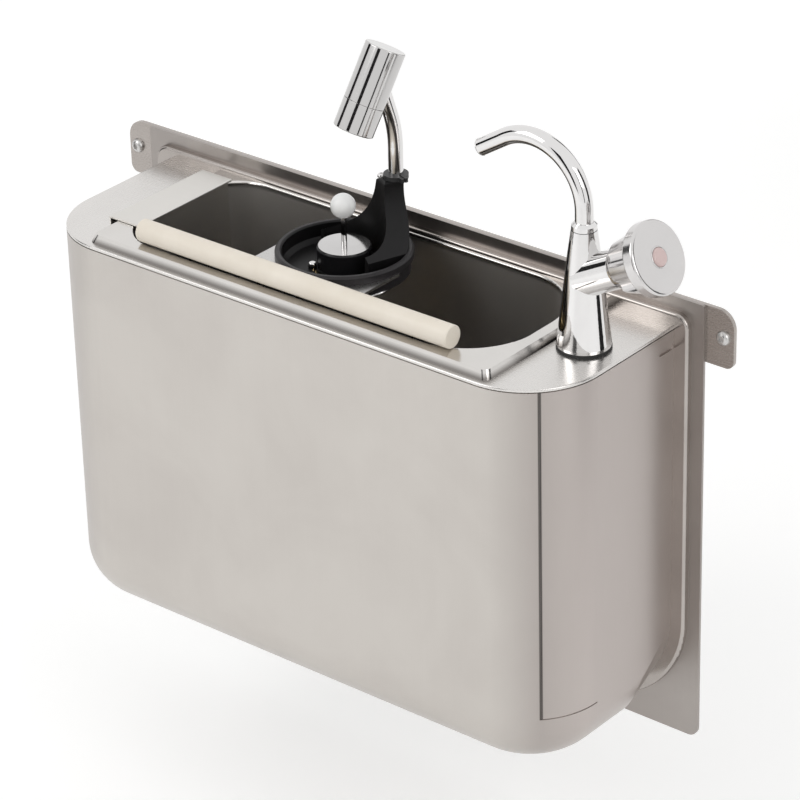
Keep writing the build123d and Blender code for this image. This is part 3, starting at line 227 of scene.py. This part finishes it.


# %% [markdown]
# The tub's front sheet ends half way round each front corner, and the joint shows as a
# dark line with a soft painted shadow beside it. The end sheet gets painted shade, a darker, pinker grey.
# The line and its shadow follow the distance from the joint, and the painted shade the distance across the
# tub.
# %% Seam and end sheet
CORNER_CENTRE = (0.165, -0.092)
CORNER_R = 0.056
SEAM_TURN = math.radians(-45.0)
SEAM_AT = (CORNER_CENTRE[0] + CORNER_R * math.cos(SEAM_TURN),
           CORNER_CENTRE[1] + CORNER_R * math.sin(SEAM_TURN))
END_FROM = 0.190
END_TO = 0.2205
SEAM_LOW = -0.245
SEAM_SHADE = 0.034


def joint_and_end(tree, place, base):
    """Draws the joint and its painted shadow, and paints shade on the end sheet."""
    parts = add_node(tree, "ShaderNodeSeparateXYZ", {0: place})
    # Painted shade: the tub's end face darkens towards a pinker grey across its last 30 mm.
    end = ramp(tree, parts.outputs[0], END_FROM, END_TO, 0.0, 0.8)
    base = mix_colour(tree, end, base, colour(0.48, 0.43, 0.41))
    either = math_node(tree, "ABSOLUTE", parts.outputs[0])
    across = math_node(tree, "SUBTRACT", either, SEAM_AT[0])
    along = math_node(tree, "SUBTRACT", parts.outputs[1], SEAM_AT[1])
    square = math_node(tree, "ADD", math_node(tree, "MULTIPLY", across, across),
                       math_node(tree, "MULTIPLY", along, along))
    away = math_node(tree, "SQRT", square)
    above = math_node(tree, "GREATER_THAN", parts.outputs[2], SEAM_LOW)
    shade = ramp(tree, away, 0.001, SEAM_SHADE, 0.55, 0.0)
    base = mix_colour(tree, shade, base, colour(0.33, 0.295, 0.28))
    line = math_node(tree, "MULTIPLY", ramp(tree, away, 0.0006, 0.0015, 0.9, 0.0), above)
    return mix_colour(tree, line, base, colour(0.03, 0.027, 0.025))


# %% Sheet finishes
ALONG_X = (0.02, 1.0, 1.0)
ALONG_Z = (1.0, 1.0, 0.02)
# One steel throughout: lighter tints here are painted light, darker tints are painted shade.
STEEL_LIGHT = (0.575, 0.545, 0.512)
STEEL_SOFT = (0.485, 0.452, 0.425)
casing_steel = sheet_steel("casing_steel", STEEL_LIGHT, STEEL_SOFT, 0.33, ALONG_Z, 1100.0, 0.9,
                           joint_and_end)
deck_steel = sheet_steel("deck_steel", (0.72, 0.70, 0.68), (0.60, 0.58, 0.56), 0.26, ALONG_X, 1100.0, 0.7)
bar_steel = sheet_steel("bar_steel", (0.46, 0.425, 0.40), (0.32, 0.29, 0.27), 0.26, ALONG_X, 1000.0, 0.9)
plate_steel = sheet_steel("plate_steel", (0.40, 0.37, 0.35), (0.30, 0.27, 0.255),
                          0.36, ALONG_Z, 1000.0, 0.9)
flange_steel = sheet_steel("flange_steel", (0.46, 0.425, 0.40), (0.24, 0.215, 0.20),
                           0.20, ALONG_Z, 1000.0, 0.8)
cover_steel = sheet_steel("cover_steel", (0.70, 0.68, 0.65), (0.60, 0.58, 0.55), 0.34, ALONG_X, 1100.0, 0.6)
fitting_steel = sheet_steel("fitting_steel", (0.58, 0.57, 0.56), (0.46, 0.45, 0.44),
                            0.28, ALONG_Z, 420.0, 0.4)
print("sheet finishes:", len([m for m in bpy.data.materials if "steel" in m.name]))

# %% [markdown]
# ## The well
# One node holds both the bright raised rim and the dark inside of the well. The inside
# looks dark because a deep satin box mostly reflects its own walls. A mask from the
# object's coordinates says what lies inside the mouth, and the tint, the roughness, the faint
# vertical streaks of painted highlight and the painted light on the left wall follow it.
# The foot of the raised rim gets painted shade.
# %% Well finish
WELL_SIDE = 0.1602
WELL_FRONT_FACE = -0.1322
WELL_LIP = 0.0062
RIM_FOOT = 0.0018
RIM_SHOULDER = 0.0052


def well_steel():
    """Bright rim with painted shade at its foot, dark satin inside the mouth with painted highlight streaks.
    """
    material, tree, shader, place = start_material("well_steel")
    parts = add_node(tree, "ShaderNodeSeparateXYZ", {0: place})
    sideways = math_node(tree, "ABSOLUTE", parts.outputs[0])
    inside = math_node(tree, "LESS_THAN", sideways, WELL_SIDE)
    behind = math_node(tree, "GREATER_THAN", parts.outputs[1], WELL_FRONT_FACE)
    below = ramp(tree, parts.outputs[2], WELL_LIP, WELL_LIP - 0.004)
    mask = math_node(tree, "MULTIPLY", math_node(tree, "MULTIPLY", inside, behind), below)
    brushed = place_group(tree, brushed_grain, {"Vector": place, "Stretch": (1.0, 1.0, 0.03), "Scale": 60.0})
    # Painted highlight: vertical streaks along the brushing and painted light on the left wall lighten the
    # inside.
    streak = ramp(tree, brushed.outputs["Broad"], 0.42, 0.72)
    left = ramp(tree, parts.outputs[0], -0.03, -0.16)
    painted_inside_light = math_node(tree, "MULTIPLY_ADD", streak, 0.45)
    tree.links.new(math_node(tree, "MULTIPLY", left, 0.35), painted_inside_light.node.inputs[2])
    dark = mix_colour(tree, painted_inside_light, colour(0.55, 0.52, 0.49), colour(0.90, 0.88, 0.85))
    clouds = place_group(tree, wiped_clouds, {"Vector": place, "Scale": 14.0, "Amount": 0.5})
    bright = mix_colour(tree, clouds.outputs[0], colour(0.70, 0.68, 0.655), colour(0.58, 0.56, 0.54))
    # Painted shade at the foot of the raised rim, where it meets the deck.
    rim_foot_shade = ramp(tree, parts.outputs[2], RIM_FOOT, RIM_SHOULDER, 0.85, 0.0)
    bright = mix_colour(tree, rim_foot_shade, bright, colour(0.16, 0.145, 0.135))
    tree.links.new(mix_colour(tree, mask, bright, dark), shader.inputs["Base Color"])
    shader.inputs["Metallic"].default_value = 1.0
    tree.links.new(ramp(tree, mask, 0.0, 1.0, 0.20, 0.46), shader.inputs["Roughness"])
    bump(tree, shader, brushed.outputs["Fine"], 0.04)
    return material


well_finish = well_steel()
print("well finish:", len(well_finish.node_tree.nodes), "nodes")

# %% [markdown]
# ## Chrome, plastics and rubber
# Plated brass is almost a mirror, with only a breath of roughness from wiping. The bowl is
# black moulded plastic with a greyer flat ring. The knock
# strip is a cream plastic rod, the ball is white and glossier, and seals are dull black.
# %% Chrome finishes


def plated(name, tint, rough, smear=0.35):
    """Chrome plate with faint wiping marks in its roughness."""
    material, tree, shader, place = start_material(name)
    clouds = place_group(tree, wiped_clouds, {"Vector": place, "Scale": 60.0, "Amount": smear})
    dull = tuple(channel * 0.93 for channel in tint)
    base = mix_colour(tree, clouds.outputs[0], colour(*tint), colour(*dull))
    tree.links.new(base, shader.inputs["Base Color"])
    shader.inputs["Metallic"].default_value = 1.0
    grit = ramp(tree, clouds.outputs[0], 0.0, 1.0, rough, rough + 0.05)
    tree.links.new(grit, shader.inputs["Roughness"])
    return material


chrome = plated("chrome_plate", (0.76, 0.75, 0.745), 0.05)
# Painted shade: the shower head's and the hub cap's chrome are darker copies of the same plate.
head_chrome = plated("head_plate", (0.58, 0.57, 0.565), 0.07)
knob_chrome = plated("knob_plate", (0.66, 0.645, 0.64), 0.16)
disc_chrome = plated("disc_plate", (0.60, 0.59, 0.585), 0.12, 0.6)
brass_finish = plated("pipe_brass", (0.62, 0.47, 0.24), 0.30, 0.8)

# %% Plastic finishes


def moulded(name, tint, worn, rough, grain=900.0, strength=0.06, sheen=0.5):
    """Moulded plastic: two close tints, a small grain and a rubbed sheen."""
    material, tree, shader, place = start_material(name)
    clouds = place_group(tree, wiped_clouds, {"Vector": place, "Scale": 40.0, "Amount": 0.8})
    base = mix_colour(tree, clouds.outputs[0], colour(*tint), colour(*worn))
    tree.links.new(base, shader.inputs["Base Color"])
    grit = ramp(tree, clouds.outputs[0], 0.0, 1.0, rough, rough + 0.08)
    tree.links.new(grit, shader.inputs["Roughness"])
    shader.inputs["Specular IOR Level"].default_value = sheen
    grain_node = place_group(tree, moulded_grain, {"Vector": place, "Scale": grain})
    bump(tree, shader, grain_node.outputs[0], strength, 0.0001)
    return material


hub_black = moulded("hub_black", (0.006, 0.006, 0.007), (0.012, 0.011, 0.012), 0.30, sheen=0.22)
clip_black = moulded("clip_black", (0.016, 0.016, 0.017), (0.03, 0.03, 0.03), 0.4)
strip_cream = moulded("strip_cream", (0.85, 0.785, 0.685), (0.79, 0.72, 0.615), 0.42, 700.0)
ball_white = moulded("ball_white", (0.88, 0.88, 0.87), (0.84, 0.84, 0.83), 0.22, 800.0, 0.02)
index_pink = moulded("index_insert", (0.72, 0.56, 0.54), (0.66, 0.50, 0.48), 0.25, 800.0, 0.02)
seal_black = moulded("seal_black", (0.014, 0.014, 0.014), (0.028, 0.027, 0.026), 0.62, 600.0, 0.12)
print("finishes so far:", len(bpy.data.materials))

# %% [markdown]
# The bowl's flat ring is greyer than its wall. It is the same moulding, so the change of
# tint comes from a mask: distance from the bowl's axis, and height up to the ring's top.
# %% Bowl finish
BOWL_AXIS = (-0.0128, -0.0618)
RING_INSIDE = 0.0428
RING_TOP = 0.0112


def bowl_plastic():
    """Black moulding, greyer on the flat ring round its edge."""
    material, tree, shader, place = start_material("bowl_black")
    parts = add_node(tree, "ShaderNodeSeparateXYZ", {0: place})
    across = math_node(tree, "SUBTRACT", parts.outputs[0], BOWL_AXIS[0])
    along = math_node(tree, "SUBTRACT", parts.outputs[1], BOWL_AXIS[1])
    square = math_node(tree, "ADD", math_node(tree, "MULTIPLY", across, across),
                       math_node(tree, "MULTIPLY", along, along))
    reach = math_node(tree, "SQRT", square)
    ring = ramp(tree, reach, RING_INSIDE, RING_INSIDE + 0.0006)
    flat = math_node(tree, "LESS_THAN", parts.outputs[2], RING_TOP)
    mask = math_node(tree, "MULTIPLY", ring, flat)
    clouds = place_group(tree, wiped_clouds, {"Vector": place, "Scale": 45.0, "Amount": 0.7})
    wall = mix_colour(tree, clouds.outputs[0], colour(0.006, 0.006, 0.006), colour(0.011, 0.010, 0.011))
    ring_grey = mix_colour(tree, clouds.outputs[0], colour(0.034, 0.031, 0.033), colour(0.020, 0.019, 0.020))
    tree.links.new(mix_colour(tree, mask, wall, ring_grey), shader.inputs["Base Color"])
    tree.links.new(ramp(tree, clouds.outputs[0], 0.0, 1.0, 0.34, 0.46), shader.inputs["Roughness"])
    shader.inputs["Specular IOR Level"].default_value = 0.22
    grain_node = place_group(tree, moulded_grain, {"Vector": place, "Scale": 1100.0})
    bump(tree, shader, grain_node.outputs[0], 0.05, 0.0001)
    return material


bowl_finish = bowl_plastic()
print("bowl finish:", len(bowl_finish.node_tree.nodes), "nodes")

# %% [markdown]
# ## A finish for every node
# The imported nodes carry plain stand-in materials. Each one's material slots are filled
# with its real finish here, so that nothing keeps a flat colour, inside the tub or out.
# %% Dress the CAD nodes
FINISHES = {
    "casing": casing_steel, "deck": deck_steel, "basin": well_finish, "wall_bar": bar_steel,
    "rear_plate": plate_steel, "tub_flange": flange_steel, "cover_plate": cover_steel,
    "strip_rail": fitting_steel, "bowl_bracket": fitting_steel, "wall_screws": fitting_steel,
    "knock_strip": strip_cream, "shower_bowl": bowl_finish, "hub": hub_black,
    "hub_cap": disc_chrome, "bowl_screws": chrome, "plunger_rod": chrome,
    "plunger_ball": ball_white, "plunger_spring": fitting_steel, "valve_poppet": seal_black,
    "valve_body": brass_finish, "shower_tube": chrome, "tube_clip": clip_black,
    "shower_head": head_chrome, "head_ring": head_chrome, "spray_face": clip_black,
    "tap_gasket": seal_black, "tap_body": chrome, "tap_shank": brass_finish,
    "tap_washer": brass_finish, "tap_nut": brass_finish, "spout": chrome,
    "spout_collar": chrome, "headwork": brass_finish, "spindle": brass_finish,
    "knob": knob_chrome, "index_button": index_pink, "waste_body": fitting_steel,
    "waste_gasket": seal_black, "waste_nut": clip_black, "strainer": fitting_steel,
    "overflow_screen": fitting_steel,
}
PIPE_FINISHES = {"overflow": clip_black, "wall_gland": seal_black}


def finish_for(name):
    """The finish of a node, by its name or by the family it belongs to."""
    if name in FINISHES:
        return FINISHES[name]
    for start, finish in PIPE_FINISHES.items():
        if name.startswith(start):
            return finish
    return brass_finish


for name, node in nodes.items():
    if not node.material_slots:
        node.data.materials.append(None)
    for slot in node.material_slots:
        slot.material = finish_for(name)
print("dressed", len(nodes), "nodes")

# %% [markdown]
# ## Small fittings made here
# Turned trims are too fine for the CAD model but catch the light in the photograph: the
# domed screw on the tower, the rim of the spout's mouth, the bezel round the knob's
# insert and the thread behind the knob. Each starts as a primitive at its size and place,
# and is then shaped in edit mode.
# %% Edit-mode helpers


def open_edit(piece):
    """Goes into edit mode on one piece, with nothing selected."""
    bpy.ops.object.select_all(action="DESELECT")
    bpy.context.view_layer.objects.active = piece
    piece.select_set(True)
    bpy.ops.object.mode_set(mode="EDIT")
    bpy.ops.mesh.select_all(action="DESELECT")
    return bmesh.from_edit_mesh(piece.data)


def close_edit():
    """Leaves edit mode."""
    bpy.ops.object.mode_set(mode="OBJECT")


def select_faces(piece, mesh, test):
    """Selects the faces whose centre and normal pass a test."""
    bpy.ops.mesh.select_mode(type="FACE")
    for face in mesh.faces:
        face.select = test(face.calc_center_median(), face.normal)
    bmesh.update_edit_mesh(piece.data)


def settle(piece, place, finish, body, angle=30):
    """Puts a finished piece in place in its mesh, gives it its finish and its body."""
    piece.data.transform(place)
    piece.data.materials.clear()
    piece.data.materials.append(finish)
    bpy.ops.object.select_all(action="DESELECT")
    bpy.context.view_layer.objects.active = piece
    piece.select_set(True)
    bpy.ops.object.shade_smooth_by_angle(angle=math.radians(angle))
    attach(piece, body)
    print(piece.name, "faces", len(piece.data.polygons))


def frame_matrix(origin, axis, side=(0.0, 1.0, 0.0)):
    """A place whose z runs along an axis."""
    z_axis = Vector(axis).normalized()
    x_axis = Vector(side) - z_axis * Vector(side).dot(z_axis)
    x_axis.normalize()
    y_axis = z_axis.cross(x_axis)
    matrix = Matrix((x_axis, y_axis, z_axis)).transposed().to_4x4()
    matrix.translation = Vector(origin)
    return matrix


# %% [markdown]
# ### Domed screw on the tower
# A bright round-headed screw sits on the tower's crown, in front of the tube. A cylinder
# is inset and raised twice for its dome, and its top ring is pressed in for the socket.
# %% Tower screw
TOWER_SCREW_AT = (-0.0072, -0.0276, 0.0520)


def tower_screw():
    """Domed screw head with a recessed socket."""
    bpy.ops.mesh.primitive_cylinder_add(vertices=32, radius=0.0030, depth=0.0012, location=(0, 0, 0.0006))
    screw = bpy.context.object
    screw.name = "tower_screw"
    mesh = open_edit(screw)
    select_faces(screw, mesh, lambda centre, normal: normal.z > 0.9)
    bpy.ops.mesh.inset(thickness=0.0006)
    bpy.ops.transform.translate(value=(0, 0, 0.0007))
    bpy.ops.mesh.inset(thickness=0.0008)
    bpy.ops.transform.translate(value=(0, 0, 0.0003))
    bpy.ops.mesh.inset(thickness=0.0004)
    bpy.ops.mesh.extrude_region_move(TRANSFORM_OT_translate={"value": (0, 0, -0.0010)})
    close_edit()
    settle(screw, Matrix.Translation(TOWER_SCREW_AT), chrome, "tub")


tower_screw()

# %% [markdown]
# ### Rim of the spout's mouth
# The spout ends in a thin rolled lip. A ring is spun from a small circle, as a torus, and
# its outer faces are pressed a little flat so that it reads as a turned edge.
# %% Spout lip
SPOUT_SWEEP = math.radians(122.0)
SPOUT_BEND = 0.041
SPOUT_NOSE_RUN = 0.022
SPOUT_START = Vector((0.1915, -0.067, 0.096))


def spout_end():
    """Middle and direction of the spout's mouth, from its bend."""
    centre = SPOUT_START + Vector((-SPOUT_BEND, 0, 0))
    arc_end = centre + SPOUT_BEND * Vector((math.cos(SPOUT_SWEEP), 0, math.sin(SPOUT_SWEEP)))
    along = Vector((-math.sin(SPOUT_SWEEP), 0, math.cos(SPOUT_SWEEP)))
    return arc_end + along * SPOUT_NOSE_RUN, along


def spout_lip():
    """Thin rolled ring at the mouth of the spout."""
    middle, along = spout_end()
    bpy.ops.mesh.primitive_torus_add(major_segments=48, minor_segments=12, major_radius=0.00545,
                                     minor_radius=0.0007)
    ring = bpy.context.object
    ring.name = "spout_lip"
    mesh = open_edit(ring)
    select_faces(ring, mesh, lambda centre, normal: normal.z > 0.7)
    bpy.ops.transform.resize(value=(1.0, 1.0, 0.6))
    close_edit()
    settle(ring, frame_matrix(middle - along * 0.0003, along), chrome, "spout", 60)


spout_lip()

# %% [markdown]
# ### Bezel round the knob's insert
# The insert in the knob's face sits in a fine raised ring. A torus is flattened towards
# the face, which keeps its highlight thin.
# %% Knob bezel
KNOB_TILT = math.radians(28.0)
KNOB_AXIS = Vector((math.cos(KNOB_TILT), 0, math.sin(KNOB_TILT)))
KNOB_FACE_AT = Vector((0.1915, -0.067, 0.050)) + KNOB_AXIS * 0.066


def knob_bezel():
    """Flat bright ring round the insert."""
    bpy.ops.mesh.primitive_torus_add(major_segments=56, minor_segments=10, major_radius=0.0068,
                                     minor_radius=0.0006)
    ring = bpy.context.object
    ring.name = "knob_bezel"
    mesh = open_edit(ring)
    select_faces(ring, mesh, lambda centre, normal: True)
    bpy.ops.transform.resize(value=(1.0, 1.0, 0.8))
    close_edit()
    settle(ring, frame_matrix(KNOB_FACE_AT, KNOB_AXIS), knob_chrome, "handle", 60)


knob_bezel()

# %% [markdown]
# ### Knurled thread behind the knob
# Between the barrel and the knob the headwork shows a short threaded neck. It is a
# cylinder cut into thin bands, with every other band drawn in, which is how a fine
# thread reads at this distance.
# %% Threaded neck
NECK_FROM = 0.0322
NECK_BANDS = 6
NECK_PITCH = 0.0009


def threaded_neck():
    """Short neck with fine grooves round it."""
    bpy.ops.mesh.primitive_cylinder_add(vertices=48, radius=0.0099, depth=NECK_PITCH,
                                        location=(0, 0, NECK_PITCH / 2))
    neck = bpy.context.object
    neck.name = "threaded_neck"
    mesh = open_edit(neck)
    select_faces(neck, mesh, lambda centre, normal: normal.z > 0.9)
    for band in range(NECK_BANDS):
        size = 0.955 if band % 2 == 0 else 1 / 0.955
        bpy.ops.mesh.extrude_region_move(TRANSFORM_OT_translate={"value": (0, 0, NECK_PITCH * 0.35)})
        bpy.ops.transform.resize(value=(size, size, 1.0))
        bpy.ops.mesh.extrude_region_move(TRANSFORM_OT_translate={"value": (0, 0, NECK_PITCH * 0.5)})
    close_edit()
    origin = Vector((0.1915, -0.067, 0.050)) + KNOB_AXIS * NECK_FROM
    settle(neck, frame_matrix(origin, KNOB_AXIS), chrome, "tub")


threaded_neck()

# %% [markdown]
# ## Floor, light and dark cards
# The object hangs in a white room over a pale floor. Metal only looks like metal when it
# has something dark to reflect, so tall black cards stand out of view on both sides:
# they draw the dark bands in the chrome. The world is white to the camera and to glossy
# rays, and lights everything else more gently.
# %% World
WORLD_DIFFUSE = 0.80


def white_world():
    """World that is white in view and in reflections, and softer as a light."""
    world = bpy.data.worlds.new("white_room")
    bpy.context.scene.world = world
    world.use_nodes = True
    tree = world.node_tree
    backdrop = tree.nodes["Background"]
    backdrop.inputs["Color"].default_value = colour(1, 1, 1)
    rays = tree.nodes.new("ShaderNodeLightPath")
    seen = math_node(tree, "ADD", rays.outputs["Is Camera Ray"], rays.outputs["Is Transmission Ray"])
    seen = math_node(tree, "ADD", seen, rays.outputs["Is Glossy Ray"], clamp=True)
    tree.links.new(ramp(tree, seen, 0.0, 1.0, WORLD_DIFFUSE, 1.0), backdrop.inputs["Strength"])


white_world()

# %% Floor and cards
FLOOR_Z = -0.42


def stage_plane(name, size, place, tint, rough, camera=True):
    """A flat stage piece with a plain procedural finish."""
    bpy.ops.mesh.primitive_plane_add(size=1)
    plane = bpy.context.object
    plane.name = name
    plane.data.transform(Matrix.Diagonal((size[0], size[1], 1, 1)))
    plane.data.transform(place)
    material, tree, shader, coords = start_material(name + "_finish")
    noise = add_node(tree, "ShaderNodeTexNoise", {"Vector": coords, "Scale": 3.0})
    shade = tuple(channel * 0.985 for channel in tint)
    base = mix_colour(tree, noise.outputs[0], colour(*tint), colour(*shade))
    tree.links.new(base, shader.inputs["Base Color"])
    shader.inputs["Roughness"].default_value = rough
    shader.inputs["Specular IOR Level"].default_value = 0.1
    plane.data.materials.append(material)
    plane.visible_camera = camera
    return plane


floor = stage_plane("floor", (9, 9), Matrix.Translation((0, 0, FLOOR_Z)), (0.93, 0.93, 0.925), 0.8)


def lit_for_camera(plane, strength=0.26):
    """Lifts a stage piece to white in view, so that only its shadow shows."""
    material = plane.data.materials[0]
    tree = material.node_tree
    shader = tree.nodes["Principled BSDF"]
    rays = tree.nodes.new("ShaderNodeLightPath")
    seen = math_node(tree, "ADD", rays.outputs["Is Camera Ray"], rays.outputs["Is Glossy Ray"], clamp=True)
    shader.inputs["Emission Color"].default_value = colour(1, 1, 1)
    tree.links.new(math_node(tree, "MULTIPLY", seen, strength), shader.inputs["Emission Strength"])


lit_for_camera(floor)


def card(name, width, height, spot, facing):
    """A dark card that stands facing a point, out of the camera's sight."""
    back = (Vector(spot) - Vector(facing)).normalized()
    place = frame_matrix(spot, back, (0, 0, 1))
    return stage_plane(name, (height, width), place, (0.02, 0.02, 0.021), 0.6, camera=False)


CARD_AIM = (0.1, -0.1, 0.1)
card("left_card", 0.46, 1.5, (-1.30, -0.75, 0.25), CARD_AIM)
card("back_card", 0.26, 1.2, (-0.10, 1.35, 0.35), CARD_AIM)
card("right_card", 0.40, 1.3, (1.15, 0.35, 0.20), CARD_AIM)
card("front_card", 0.42, 1.1, (0.15, -1.45, 0.35), CARD_AIM)
card("front_right_card", 0.22, 1.3, (1.55, -0.95, 0.45), CARD_AIM)

# %% Lamps


def soft_lamp(name, spot, aim, size, power):
    """A square area lamp aimed at a point."""
    bpy.ops.object.light_add(type="AREA", location=spot)
    lamp = bpy.context.object
    lamp.name = name
    lamp.data.size = size
    lamp.data.energy = power
    lamp.rotation_euler = (Vector(aim) - Vector(spot)).to_track_quat("-Z", "Y").to_euler()
    return lamp


MIDDLE = (0.0, -0.08, -0.1)
soft_lamp("key_lamp", (-0.9, -1.5, 1.3), MIDDLE, 1.1, 9.0)
soft_lamp("side_lamp", (1.7, -0.5, 0.9), MIDDLE, 0.9, 5.0)
print("lamps:", [lamp.name for lamp in bpy.data.lights])

# %% [markdown]
# ## Camera
# The photograph was taken from the front right, about 28 degrees up, through a long lens.
# The camera is built from its two angles, its distance and its small roll, so that its
# three axes are right angles by construction.
# %% Camera
AZIMUTH = math.radians(39.9)
ELEVATION = math.radians(27.98)
ROLL = math.radians(-1.5)
DISTANCE = 2.630
TARGET = Vector((-0.016, -0.004, -0.131))
LENS = 169.2


def place_camera():
    """Camera at the photograph's angle, aimed at its middle."""
    back = Vector((math.sin(AZIMUTH) * math.cos(ELEVATION), -math.cos(AZIMUTH) * math.cos(ELEVATION),
                   math.sin(ELEVATION)))
    right = Vector((math.cos(AZIMUTH), math.sin(AZIMUTH), 0))
    up = back.cross(right)
    turned_right = right * math.cos(ROLL) + up * math.sin(ROLL)
    turned_up = up * math.cos(ROLL) - right * math.sin(ROLL)
    data = bpy.data.cameras.new("photo_camera")
    data.lens = LENS
    data.sensor_width = 36.0
    data.sensor_fit = "HORIZONTAL"
    data.clip_end = 50.0
    camera = bpy.data.objects.new("photo_camera", data)
    bpy.context.scene.collection.objects.link(camera)
    matrix = Matrix((turned_right, turned_up, back)).transposed().to_4x4()
    matrix.translation = TARGET + back * DISTANCE
    camera.matrix_world = matrix
    bpy.context.scene.camera = camera


place_camera()
print("camera at", [round(value, 3) for value in bpy.context.scene.camera.location])
bpy.context.scene.view_settings.view_transform = "Standard"
